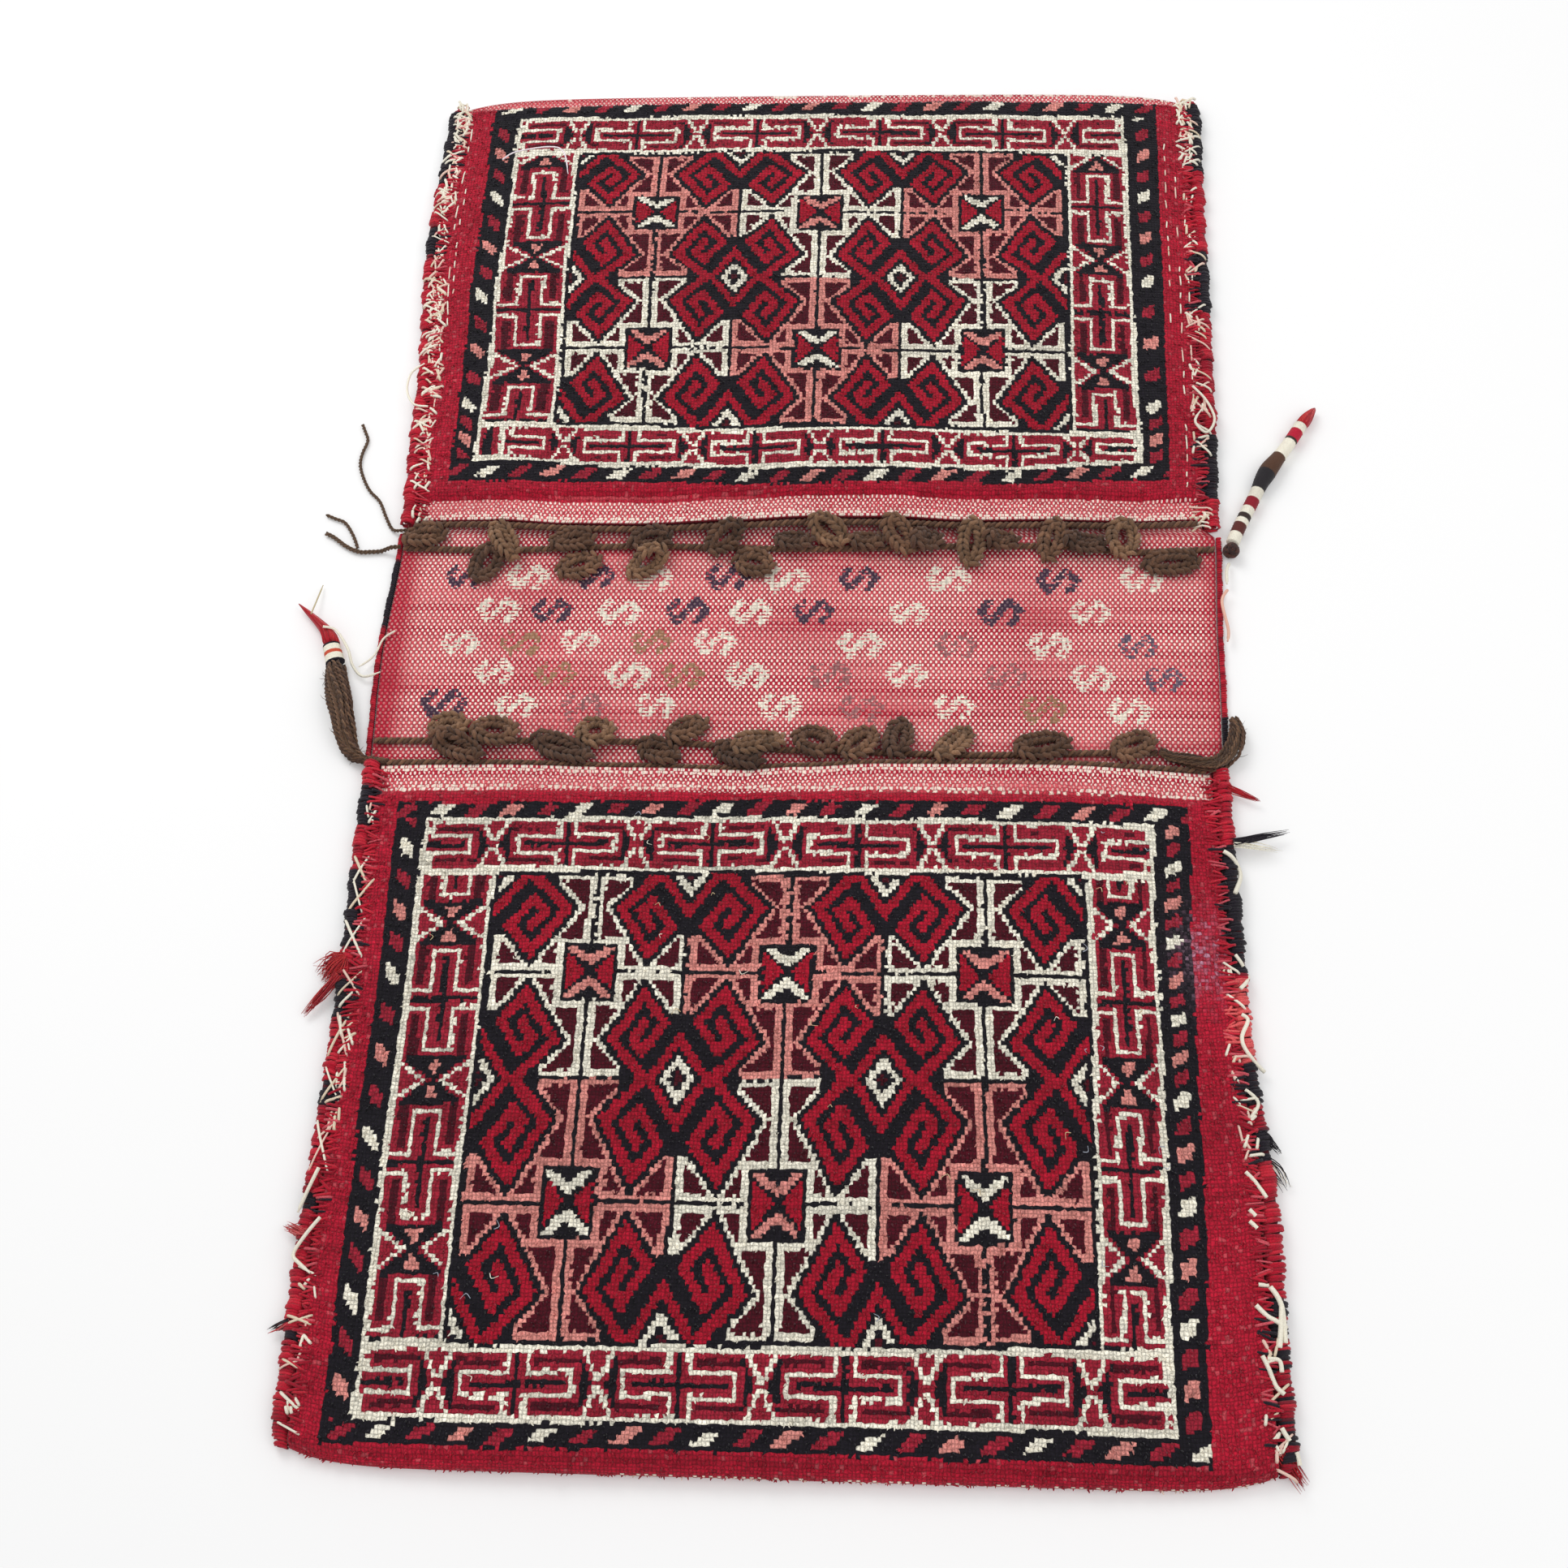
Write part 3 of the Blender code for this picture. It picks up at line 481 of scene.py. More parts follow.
def red_tip(name, node, route, thick, seed):
    """The red wool end of a tassel: a soft core with fibres that run out to a point."""
    taper = (0.85, 1.0, 0.95, 0.80, 0.58, 0.34, 0.08)
    yarns = Yarns()
    path = raised(smooth_route(route, len(taper)), thick * 0.9)
    body = [Vector((p.x, p.y, max(p.z, thick * 0.5))) for p in path]
    yarns.tube(body, [thick * s for s in taper], RED_FIBRES[1], 10)
    dice = random.Random(seed)
    for _ in range(120):
        turn, reach, depth = dice.uniform(0, math.tau), dice.randint(3, 6), dice.uniform(0.85, 1.12)
        strand = []
        for k in range(reach + 1):
            across = Vector((math.cos(turn), math.sin(turn) * 0.2, math.sin(turn)))
            strand.append(body[k] + across * thick * taper[k] * depth)
        yarns.tube(strand, [0.00042] * reach + [0.00012], dice.choice(RED_FIBRES), 3)
    return dress(yarns.build(name, fibre_wool), node)


WRAPPED_TIP = ((0.0579, 0.2087, 0.0001), (0.0640, 0.2180, 0.0001), (0.0700, 0.2260, 0.0001))
upper_tip = red_tip("upper_right_red_tip", "upper_right_tip", beside(1, WRAPPED_TIP), 0.0048, 5)


# The cloth's pattern. It is knotted row by row on the loom, so every knot has one colour. Each face has a
# crimson margin, a black border with small lozenges, a white-lined main border and the hooked field.
KNOT_HEIGHT = 0.00252
PALETTE = [CRIMSON, NAVY, CREAM, SALMON, MAROON, BRIGHT_RED, BORDER_RED]
CRIMSON_KNOT, NAVY_KNOT, CREAM_KNOT, SALMON_KNOT, MAROON_KNOT, RED_KNOT, BORDER_KNOT = range(7)

# Where the pattern's lines lie on each face, in millimetres. Across: margin, black border, main border,
# field, and back out. Along, from the low end up. Each line is given at even steps from end to end.
LOWER_LINES = {
    "across": ((-300, -300), (-265, -270), (-248.5, -249.5), (-197.5, -194), (185, 187.5), (230.5, 235.5),
               (249.5, 258.5), (300, 300)),
    "along": ((-545, -545), (-529, -527), (-515, -511), (-468.5, -461.5), (-166.5, -162.5), (-123, -122.5),
              (-112, -108), (-80, -80)),
    "columns": (0, 1.04, 2.01, 3.02, 4.00, 4.99, 6), "rows": (0, 1.09, 2.13, 3.08, 4),
    "start": 0, "cream_zones": ((0, 1), (1, 0), (2, 1)),
    "creams": {"low": (-230, -135, -40, 55, 150, 245), "high": (-239, -144, -49, 46, 141, 236),
               "left": (-545, -445, -345, -236, -146), "right": (-521, -450, -378, -312, -260, -205, -153)},
}
UPPER_LINES = {
    "across": ((-310, -310), (-265.5, -268.5), (-250, -246), (-187, -193.5), (187.5, 191.5), (240.5, 242),
               (259, 268), (310, 310)),
    "along": ((100, 100), (156, 149, 148.5, 149.5, 159), (177, 162.5, 162, 160.5, 175),
              (207, 201, 198.5, 197, 197), (470.5, 466.5), (512, 508), (533, 527), (560, 560)),
    "columns": (0, 1.01, 2.01, 3.03, 4.02, 5.01, 6), "rows": (0, 1.05, 2.07, 3.06, 4),
    "start": 0.045, "cream_zones": ((0, 0), (1, 1), (2, 0)),
    "creams": {"low": (-237, -139, -46, 49, 145, 240), "high": (-253, -154, -57, 40, 137, 234),
               "left": (160, 221, 326, 426, 519), "right": (162, 218, 339, 425, 511)},
}
LINE = 1.4
PERIOD_UP, UNITS_ACROSS = 107.0, 5


def signed_distance(x, y, start, end):
    """How far points lie to the left of a line from start to end."""
    run = (end[0] - start[0], end[1] - start[1])
    return (run[0] * (y - start[1]) - run[1] * (x - start[0])) / math.hypot(*run)


def field_cell(s, t, wide, high, cream_zone, cream_box):
    """A quarter of the field's repeat, from a cluster's middle (0, 0) to a box's middle (1, 1)."""
    x, y = s * wide, t * high
    knots = np.full(s.shape, NAVY_KNOT)
    zone = np.where(cream_zone, CREAM_KNOT, SALMON_KNOT)
    right, top = (0.775 * wide, 0.345 * high), (0.410 * wide, 0.875 * high)
    left, bottom = (0.105 * wide, 0.535 * high), (0.475 * wide, 0.062 * high)
    from_a0 = signed_distance(x, y, bottom, right)
    from_b0 = signed_distance(x, y, right, top)
    from_a7 = signed_distance(x, y, top, left)
    from_b5 = signed_distance(x, y, left, bottom)
    a = 7 * from_a0 / np.maximum(from_a0 + from_a7, 1e-3)
    b = 5 * from_b0 / np.maximum(from_b0 + from_b5, 1e-3)
    inside = (from_a0 > 0) & (from_b0 > 0) & (from_a7 > 0) & (from_b5 > 0)
    hook = ((a < 1.15) | (b < 1.15) | ((a >= 5.9) & (b < 5)) | ((b >= 3.9) & (a >= 1.9))
            | ((a >= 1.9) & (a < 3.1) & (b >= 1.9)) | ((b >= 1.9) & (b < 3.1) & (a >= 1.9) & (a < 5.1)))
    away = np.maximum(np.maximum(-from_b0, -from_a0), -from_a7)
    past_right = (from_a0 < 0) & (s > 0.60)
    past_left = (from_a7 < 0) & (t > 0.62)
    outside = ((from_b0 < 0) | past_right | past_left) & (away > 3.4)
    half_box_x, half_box_y = 0.275 * wide, 0.275 * high
    to_box = np.maximum(wide - x - half_box_x, high - y - half_box_y)
    row_line, low_line = high - y, y
    column_line, mid_line = x, wide - x
    strip = ((away < 6.3) | (row_line < 5.4) | (column_line < 5.8) | (mid_line < 5.8) | (low_line < 5.2)
             | (to_box < 4.8))
    line = (row_line < 1.0) | (column_line < 1.3) | (mid_line < 1.3) | (low_line < 1.0)
    knots = np.where(outside, np.where(line, NAVY_KNOT, np.where(strip, zone, MAROON_KNOT)), knots)
    knots = np.where(inside & hook, RED_KNOT, knots)
    middle = x / (0.285 * wide) + y / (0.385 * high)
    joint = (from_b5 < 0) & (from_a0 > -1.0) & (a < 1.2) & (middle > 1.0)
    knots = np.where(joint & (y < 0.20 * high), RED_KNOT, knots)
    knots = np.where(abs(middle - 1) < 0.19, RED_KNOT, knots)
    knots = np.where((middle < 0.81), NAVY_KNOT, knots)
    ring = x / (0.178 * wide) + y / (0.225 * high)
    knots = np.where((ring > 0.55) & (ring <= 1.0), CREAM_KNOT, knots)
    knots = np.where(ring < 0.30, MAROON_KNOT, knots)
    in_box = to_box < 0
    p, q = (wide - x) / half_box_x, (high - y) / half_box_y
    box = np.where(p > q + 0.14, RED_KNOT, NAVY_KNOT)
    middle = (q > p) & (abs(q - 0.36 - 0.62 * p) < 0.17)
    box = np.where(middle, np.where(cream_box, CREAM_KNOT, SALMON_KNOT), box)
    box = np.where(to_box > -2.4, NAVY_KNOT, box)
    return np.where(in_box, box, knots)


def field(across, along, wide, high, cream_zones):
    """The whole field from its place in quarter repeats, columns 0 to 6 and rows 0 to 4."""
    column, row = np.clip(across, 0, 5.999), np.clip(along, 0, 3.999)
    s, t = 1 - abs(column % 2 - 1), 1 - abs(row % 2 - 1)
    zone_column, zone_row = (column // 2).astype(int), (row // 2).astype(int)
    cream = np.zeros(s.shape, bool)
    for one in cream_zones:
        cream |= (zone_column == one[0]) & (zone_row == one[1])
    return field_cell(s, t, wide, high, cream, ~cream)


def border_unit(p, q, half_period, half_band, upright):
    """The main border's bracketed cross and the crossing lines between two of them."""
    reach = 11.0 * (q - 6.0) / (half_band - 6.0) if upright else 7.8 * q / half_band
    short = half_period - reach - p
    arm, inner, stub = half_band * 0.39, half_period * (0.62 if upright else 0.68), 5.8
    box = np.maximum(p - inner, q - arm)
    beyond = p > inner + 3.8
    knots = np.full(p.shape, BORDER_KNOT)
    strips = (box > 4.6) & (p > stub + 4.6) & (half_band - q > 3.2) & ~beyond
    knots = np.where(strips, MAROON_KNOT, knots)
    knots = np.where((box > 4.6) & beyond & (short > 3.8) & (half_band - q > 2.6), NAVY_KNOT, knots)
    knots = np.where((p < 1.5) | ((q < 1.5) & (p < inner - 4.5)), NAVY_KNOT, knots)
    bracket = ((abs(box) < LINE) & (p > stub - LINE)) | ((abs(p - stub) < LINE) & (q > arm))
    knots = np.where(bracket, CREAM_KNOT, knots)
    if upright:
        gap = q < 4.6
        crossing = (abs(short) < LINE * 1.15) & ~gap
        knots = np.where((short < 0) & ~gap, BORDER_KNOT, knots)
        centre = half_period - p
        knots = np.where((centre < 14) & (short > 3.4) & (q < 11) & (box > 4.6), NAVY_KNOT, knots)
        wedge = (centre > 3.6) & (centre < 12.5) & (q < 5.2 * (centre - 1.5) / 10.5)
        knots = np.where(wedge, SALMON_KNOT, knots)
    else:
        crossing = abs(short) < LINE * 1.15
        knots = np.where((short < -LINE) & (q > 4), BORDER_KNOT, knots)
        knots = np.where((q < 2.2) & (abs(half_period - p) < 3.0), BORDER_KNOT, knots)
        crossing &= q > 1.6
    return np.where(crossing, CREAM_KNOT, knots)


def lozenges(along, across, tall, lean, creams):
    """Small leaning lozenges on the black border, in the order cream, red, salmon, red. The weaver set them
    by eye, so the places of the cream ones are given."""
    creams = np.array(creams, float)
    steps = np.diff(creams) / 4
    span = np.clip(np.searchsorted(creams, along) - 1, 0, len(steps) - 1)
    pitch = steps[span]
    place = 4 * span + (along - creams[span]) / pitch
    number = np.round(place).astype(int)
    off = (place - number) * pitch - lean * across
    half = np.minimum(5.2, pitch * 0.30)
    shape = (abs(off) < half) & (abs(across) < tall) & (abs(off) + abs(across) < half + 3.4)
    order = np.array([CREAM_KNOT, BORDER_KNOT, SALMON_KNOT, BORDER_KNOT])
    return np.where(shape, order[number % 4], NAVY_KNOT)


def past_lines(value, edges):
    """The number of the line before each value, plus its share of the way to the next one."""
    made = np.zeros(value.shape)
    for k, (near, far) in enumerate(zip(edges, edges[1:])):
        made = np.where((value >= near) & (value < far), k + (value - near) / (far - near), made)
    return made


class Face:
    """The knots of one face, and where each lies between the pattern's lines, in millimetres."""

    def __init__(self, x, y, lines):
        low, high = lines["along"][0][0], lines["along"][-1][0]
        self.x, self.y, self.lines = x, y, lines
        self.across = [np.interp(y, np.linspace(low, high, len(line)), line) for line in lines["across"]]
        self.along = [np.interp(x, np.linspace(-300, 300, len(line)), line) for line in lines["along"]]
        self.column, self.row = past_lines(x, self.across), past_lines(y, self.along)
        self.kx, self.ky = np.floor(self.column).astype(int), np.floor(self.row).astype(int)
        self.knots = np.full(x.shape, CRIMSON_KNOT)

    def lay(self, where, knots):
        self.knots = np.where(where, knots, self.knots)

    def black_border(self):
        """The black border with its leaning lozenges."""
        kx, ky = self.kx, self.ky
        for at, level, side in ((1, ("low", 1.1), ("left", -0.9)), (5, ("high", 0.9), ("right", 0.5))):
            for where, (key, lean), tall, run, over, edges in (
                    ((ky == at) & (kx >= 1) & (kx <= 5), level, 4.6, self.x, self.y, self.along),
                    ((kx == at) & (ky >= 2) & (ky <= 4), side, 5.0, self.y, self.x, self.across)):
                half = (edges[at + 1] - edges[at]) / 2
                creams = self.lines["creams"][key]
                self.lay(where, lozenges(run, over - edges[at] - half, tall, lean, creams))

    def main_border(self):
        """The main border with its white lines, and the black line round the field."""
        x, y, kx, ky = self.x, self.y, self.kx, self.ky
        left, right = self.across[2], self.across[5]
        for at, upright in ((2, False), (4, False), (2, True), (4, True)):
            edges, over = (self.across, x) if upright else (self.along, y)
            near, far = edges[at], edges[at + 1]
            inner = far - over if at == 2 else over - near
            outer = far - near - inner
            opens = not upright and at == 2 and self.lines["start"] > 0
            extra = self.lines["start"] * (right - left) if opens else 0.0
            period = PERIOD_UP if upright else (right - left - extra) / UNITS_ACROSS
            phase = (y - self.along[3]) / period if upright else (x - left - extra) / period
            off = abs(phase - np.round(phase)) * period
            middle = abs(over - (near + far) / 2 - (1.0 if at == 4 else -1.0))
            unit = border_unit(off, middle, period / 2, (far - near - 11.0) / 2, upright)
            if opens:
                strips = np.where(abs((x - left) / extra - 0.45) < 0.14, NAVY_KNOT, BORDER_KNOT)
                strips = np.where((x - left) > extra - 3.2, CREAM_KNOT, strips)
                unit = np.where((x - left) < extra, strips, unit)
            unit = np.where((outer < 4.0) | (inner < 6.0), CREAM_KNOT, unit)
            if upright:
                band, black = (kx == at) & (ky == 3), inner < 2.6
            else:
                unit = np.where((x - left < 4.0) | (right - x < 4.0), CREAM_KNOT, unit)
                band, black = (ky == at) & (kx >= 2) & (kx <= 4), (inner < 2.2) & (kx == 3)
            self.lay(band, np.where(black, NAVY_KNOT, unit))

    def hooked_field(self):
        """The field of hooked shapes, boxes and clusters in the middle."""
        column = np.interp(6 * (self.column - 3), self.lines["columns"], range(7))
        row = np.interp(4 * (self.row - 3), self.lines["rows"], range(5))
        wide = float(np.mean(self.across[4] - self.across[3])) / 6
        tall = float(np.mean(self.along[4] - self.along[3])) / 4
        self.lay((self.kx == 3) & (self.ky == 3), field(column, row, wide, tall, self.lines["cream_zones"]))

    def pattern(self):
        """The number of each knot's dye in the palette."""
        self.black_border()
        self.main_border()
        self.hooked_field()
        return self.knots


def slow_noise(x, y, dice, size, waves=6):
    """A soft irregular wave over a surface, about 1 at its highest."""
    total = np.zeros(x.shape)
    for _ in range(waves):
        turn, phase = dice.uniform(0, math.tau), dice.uniform(0, math.tau)
        length = size * dice.uniform(0.6, 1.8)
        total += np.sin((x * math.cos(turn) + y * math.sin(turn)) / length * math.tau + phase)
    return total / math.sqrt(waves) / 1.4


# Small S shapes woven into the bridge in five staggered rows: x and y in millimetres, and the yarn.
WEFT_YARNS = {"navy": linear(70, 44, 66), "cream": linear(244, 232, 214), "tan": linear(164, 118, 88),
              "faded": linear(158, 98, 100), "grey": linear(100, 82, 102)}
S_ROWS = (
    (76, ((-247, "navy"), (-202, "cream"), (-154, "navy"), (-110, "cream"), (-58, "navy"), (-16, "cream"),
          (35, "navy"), (102, "cream"), (178, "navy"), (235, "cream"))),
    (48, ((-221, "cream"), (-182, "navy"), (-134, "cream"), (-86, "navy"), (-40, "cream"), (7, "navy"),
          (71, "cream"), (136, "navy"), (200, "cream"))),
    (22, ((-243, "cream"), (-201, "tan"), (-161, "cream"), (-107, "tan"), (-62, "cream"), (40, "cream"),
          (107, "faded"), (169, "cream"), (233, "grey"))),
    (-4, ((-219, "cream"), (-176, "tan"), (-124, "cream"), (-83, "tan"), (-39, "cream"), (16, "faded"),
          (72, "cream"), (138, "faded"), (198, "cream"), (247, "grey"))),
    (-30, ((-249, "navy"), (-200, "cream"), (-154, "faded"), (-102, "cream"), (-16, "cream"),
           (40, "faded"), (106, "cream"), (165, "tan"), (222, "cream"))),
)
S_STROKE = ((-7.0, 8.0), (-12.4, 1.0), (-6.4, -8.2), (6.2, 8.2), (13.2, 1.0), (7.4, -8.0))
S_HALF_WIDTH = 2.8


def to_stroke(p, q, stroke):
    """Distance from each place to the nearest line of a stroke."""
    nearest = np.full(p.shape, 1e9)
    for (x0, y0), (x1, y1) in zip(stroke, stroke[1:]):
        run_x, run_y = x1 - x0, y1 - y0
        t = np.clip(((p - x0) * run_x + (q - y0) * run_y) / (run_x ** 2 + run_y ** 2), 0, 1)
        nearest = np.minimum(nearest, np.hypot(p - x0 - t * run_x, q - y0 - t * run_y))
    return nearest


def flat_dyes(x, y, dice):
    """The flat weave's dyes at these places, in millimetres, and how much cream warp shows there."""
    rows = (x.shape[0], 1)
    streak = 0.56 + 0.22 * np.sin(y / 9.0 + 0.8 * np.sin(x / 70.0)) + 0.34 * dice.normal(size=rows)
    streak += 0.34 * slow_noise(x, y * 7, dice, 140) + 0.24 * slow_noise(x, y * 26, dice, 90)
    selvedge = np.clip((abs(x) - 276) / 12, 0, 1)
    share = np.clip(streak * (1 - selvedge), 0, 1)[..., None]
    dyes = np.array(RED_WEAVE) * (1 - share) + np.array(PINK_WEAVE) * share
    dyes = dyes * np.clip(1 + 0.07 * dice.normal(size=x.shape), 0.7, 1.3)[..., None]
    shows = np.clip(0.84 + 0.34 * slow_noise(x, y * 3, dice, 120) + 0.12 * dice.normal(size=rows), 0.3, 1)
    shows = shows * (1 - 0.7 * selvedge)
    every_other = (np.arange(x.shape[0]) % 2 == 0)[:, None]
    for row_y, motifs in S_ROWS:
        for motif_x, yarn in motifs:
            p, q = x - motif_x + dice.uniform(-2, 2), y - row_y + dice.uniform(-1.5, 1.5)
            grown = dice.uniform(0.92, 1.1)
            shape = to_stroke(p / grown, q / grown, S_STROKE) < S_HALF_WIDTH
            if yarn == "cream":
                shape &= every_other | (dice.random(x.shape) < 0.45)
            worn = {"navy": 0.14, "cream": 0.08, "tan": 0.28, "faded": 0.42, "grey": 0.4}[yarn]
            shape &= dice.random(x.shape) > worn
            dyes[shape] = np.array(WEFT_YARNS[yarn]) * dice.uniform(0.8, 1.1, (int(shape.sum()), 1))
            shows[shape] = 0.12
    return dyes, shows


def make_bead_group():
    """Rounded beads side by side, one for each knot or pass of the weft, and the dots of warp between."""
    group, graph, given, out = new_tree("woven_beads", "ShaderNodeTree", {
        "Place": ("Vector",), "Across": ("Float", 1.0), "Along": ("Float", 1.0), "Stray": ("Float", 0.3)},
        {"Height": ("Float",), "Dots": ("Float",)})
    noise = graph.add("ShaderNodeTexNoise", {"Vector": given["Place"], "Scale": 0.9, "Detail": 1.0})
    centred = graph.vector("SUBTRACT", noise.outputs["Color"], (0.5, 0.5, 0.5))
    place = graph.vector("ADD", given["Place"], graph.vector("SCALE", centred, given["Stray"]))
    split = graph.add("ShaderNodeSeparateXYZ", {0: place}).outputs
    across, along = (graph.math("MULTIPLY", graph.math("MULTIPLY", split[axis], given[pitch]), math.pi)
                     for axis, pitch in (("X", "Across"), ("Y", "Along")))
    wave_along = graph.math("SINE", along)
    bead = graph.math("MULTIPLY", graph.math("ABSOLUTE", graph.math("SINE", across)),
                      graph.math("ABSOLUTE", wave_along))
    graph.give(out["Height"], graph.math("SQRT", bead))
    stagger = graph.math("MULTIPLY", graph.math("SINE", graph.math("MULTIPLY", across, 2.0)), wave_along)
    dots = graph.add("ShaderNodeMapRange", {"Value": stagger, "From Min": 0.12, "From Max": 0.42},
                     interpolation_type="SMOOTHSTEP")
    graph.give(out["Dots"], dots.outputs["Result"])
    return group


bead_group = make_bead_group()


def beads(graph, across, along, stray):
    """The beads' height and dots, at so many across and along for each cell of the piece's weave."""
    place = graph.add("ShaderNodeUVMap", uv_map="weave").outputs["UV"]
    return graph.add("ShaderNodeGroup", {"Place": place, "Across": across, "Along": along, "Stray": stray},
                     node_tree=bead_group).outputs


def beads_with_painted_shade(graph, height, colour, bead, share, deepest_painted_shade):
    """A height with the beads' own mixed in, and a colour darker where they are low as painted shade in the
    hollows between beads, and lighter on their tops as a painted highlight.
    """
    # Painted shade and highlight: the colour is scaled from the deepest painted shade in the hollows up to
    # 1.12 on the beads' tops.
    gain = graph.add("ShaderNodeMapRange", {"Value": bead, "To Min": deepest_painted_shade, "To Max": 1.12})
    mixed = graph.add("ShaderNodeMix", {"Factor": share, "A": height, "B": bead})
    return mixed.outputs["Result"], graph.vector("SCALE", colour, gain.outputs["Result"])


def knotted(graph, height, colour):
    """Pile: one rounded knot of cut wool in each cell of the weave."""
    # Painted shade halves the colour in the gaps between knots, and a painted highlight lifts their tops.
    return beads_with_painted_shade(graph, height, colour, beads(graph, 1.0, 1.0, 0.7)["Height"], 0.62, 0.50)


def flat_woven(across, along):
    """Flat weave: passes of weft, with dots of cream warp that show between them."""
    def weave(graph, height, colour):
        made = beads(graph, across, along, 0.25)
        shows = graph.add("ShaderNodeAttribute", attribute_name="warp_shows")
        share = graph.math("MULTIPLY", shows.outputs["Fac"], made["Dots"])
        mixed = graph.add("ShaderNodeMix", {"Factor": share}, data_type="RGBA")
        ground, warp = (socket for socket in mixed.inputs if socket.type == "RGBA")
        graph.give(ground, colour)
        graph.give(warp, (*WARP_CREAM, 1.0))
        shown = next(socket for socket in mixed.outputs if socket.type == "RGBA")
        # Painted shade darkens the colour between passes of weft, and a painted highlight lifts their tops.
        return beads_with_painted_shade(graph, height, shown, made["Height"], 0.7, 0.66)
    return weave


pile_wool = wool("knotted_pile", roughness=0.95, fibre_scale=1100, streak=0.5, abrash=0.14, sheen=0.08,
                 bump=0.9, weave=knotted)
face_flat_wool = wool("flat_weave_at_the_mouth", roughness=0.92, fibre_scale=1000, streak=0.3, abrash=0.12,
                      sheen=0.05, bump=0.7, weave=flat_woven(0.70, 1.0))
bridge_flat_wool = wool("flat_weave_of_the_bridge", roughness=0.92, fibre_scale=1000, streak=0.3,
                        abrash=0.12, sheen=0.05, bump=0.7, weave=flat_woven(0.62, 0.54))


def cloth_shell(name, outer, inner, dyes, shows, flat_finish, finish_rows):
    """A closed length of cloth from its outer and inner rows of points. Each outer cell has its own dye."""
    rows, columns = outer.shape[:2]
    under, base = inner.shape[0], rows * columns
    verts = np.concatenate([outer.reshape(-1, 3), inner.reshape(-1, 3)])

    def cells(first, count):
        i, j = np.meshgrid(np.arange(count - 1), np.arange(columns - 1), indexing="ij")
        corner = (first + i * columns + j).ravel()
        return np.stack([corner, corner + 1, corner + columns + 1, corner + columns], 1)

    top, low = cells(0, rows), cells(base, under)[:, [0, 3, 2, 1]]
    across = np.arange(columns - 1)
    last_top, last_low = (rows - 1) * columns, base + (under - 1) * columns
    near = np.stack([across, base + across, base + across + 1, across + 1], 1)
    far = np.stack([last_top + across, last_top + across + 1, last_low + across + 1, last_low + across], 1)
    left = [*(np.arange(rows) * columns), *(base + np.arange(under)[::-1] * columns)]
    right = [place + columns - 1 for place in (*(np.arange(rows)[::-1] * columns),
                                               *(base + np.arange(under) * columns))]
    faces = [*top.tolist(), *low.tolist(), *near.tolist(), *far.tolist(), [int(v) for v in left],
             [int(v) for v in right]]
    mesh = bpy.data.meshes.new(name)
    mesh.from_pydata(verts.tolist(), [], faces)
    if outer[1, 0, 1] <= outer[0, 0, 1]:
        mesh.flip_normals()
    colours = np.ones((len(faces), 4))
    colours[:, :3] = RED_WEAVE
    colours[:len(top), :3] = dyes.reshape(-1, 3)
    dye = mesh.attributes.new("dye", "FLOAT_COLOR", "CORNER")
    dye.data.foreach_set("color", np.repeat(colours, [len(face) for face in faces], axis=0).ravel())
    for key, values in (("warp_shows", shows), ("fuzz", np.repeat(1.0 - finish_rows, columns - 1))):
        each = np.zeros(len(faces))
        each[:len(top)] = values.ravel()
        mesh.attributes.new(key, "FLOAT", "FACE").data.foreach_set("value", each)
    places = np.empty(len(mesh.loops), int)
    mesh.loops.foreach_get("vertex_index", places)
    weave = np.stack([places % columns, places // columns], 1)
    mesh.uv_layers.new(name="weave").data.foreach_set("uv", weave.astype(float).ravel())
    for finish in (pile_wool, flat_finish):
        mesh.materials.append(finish)
    kind = np.zeros(len(faces), int)
    kind[:len(top)] = np.repeat(finish_rows, columns - 1)
    mesh.polygons.foreach_set("material_index", kind)
    mesh.shade_smooth()
    return in_scene(name, mesh)


def cloth_rows(places, columns, column):
    """Rows of points over the cloth. For a share of the width, column gives how y and z follow a place."""
    made = np.zeros((len(places), columns + 1, 3))
    for j, u in enumerate(np.linspace(-1, 1, columns + 1)):
        at = column(u)
        for i, place in enumerate(places):
            y, z = at(place)
            made[i, j] = (u * edge_here(-1 if u < 0 else 1, y), y, z)
    return made


def fold_middle(pocket, u):
    """Where the fold turns at a share of the width, and its inner radius."""
    end = end_y(pocket, u)
    radius = gape(pocket, u, end) / 2
    return end - pocket.side * (FLAT_WEAVE + radius), radius


def blend(dyes, other, share):
    """Dyes mixed with one other dye, by a share for each cell."""
    return dyes * (1 - share[..., None]) + np.array(other) * share[..., None]


FACE_COLUMNS, FOLD_ROWS, INNER_ROWS = 244, 9, 12
UNEVEN_CLOTH, KNOT_RISE, KNOT_STRAY = 0.0004, 0.00028, 0.00034


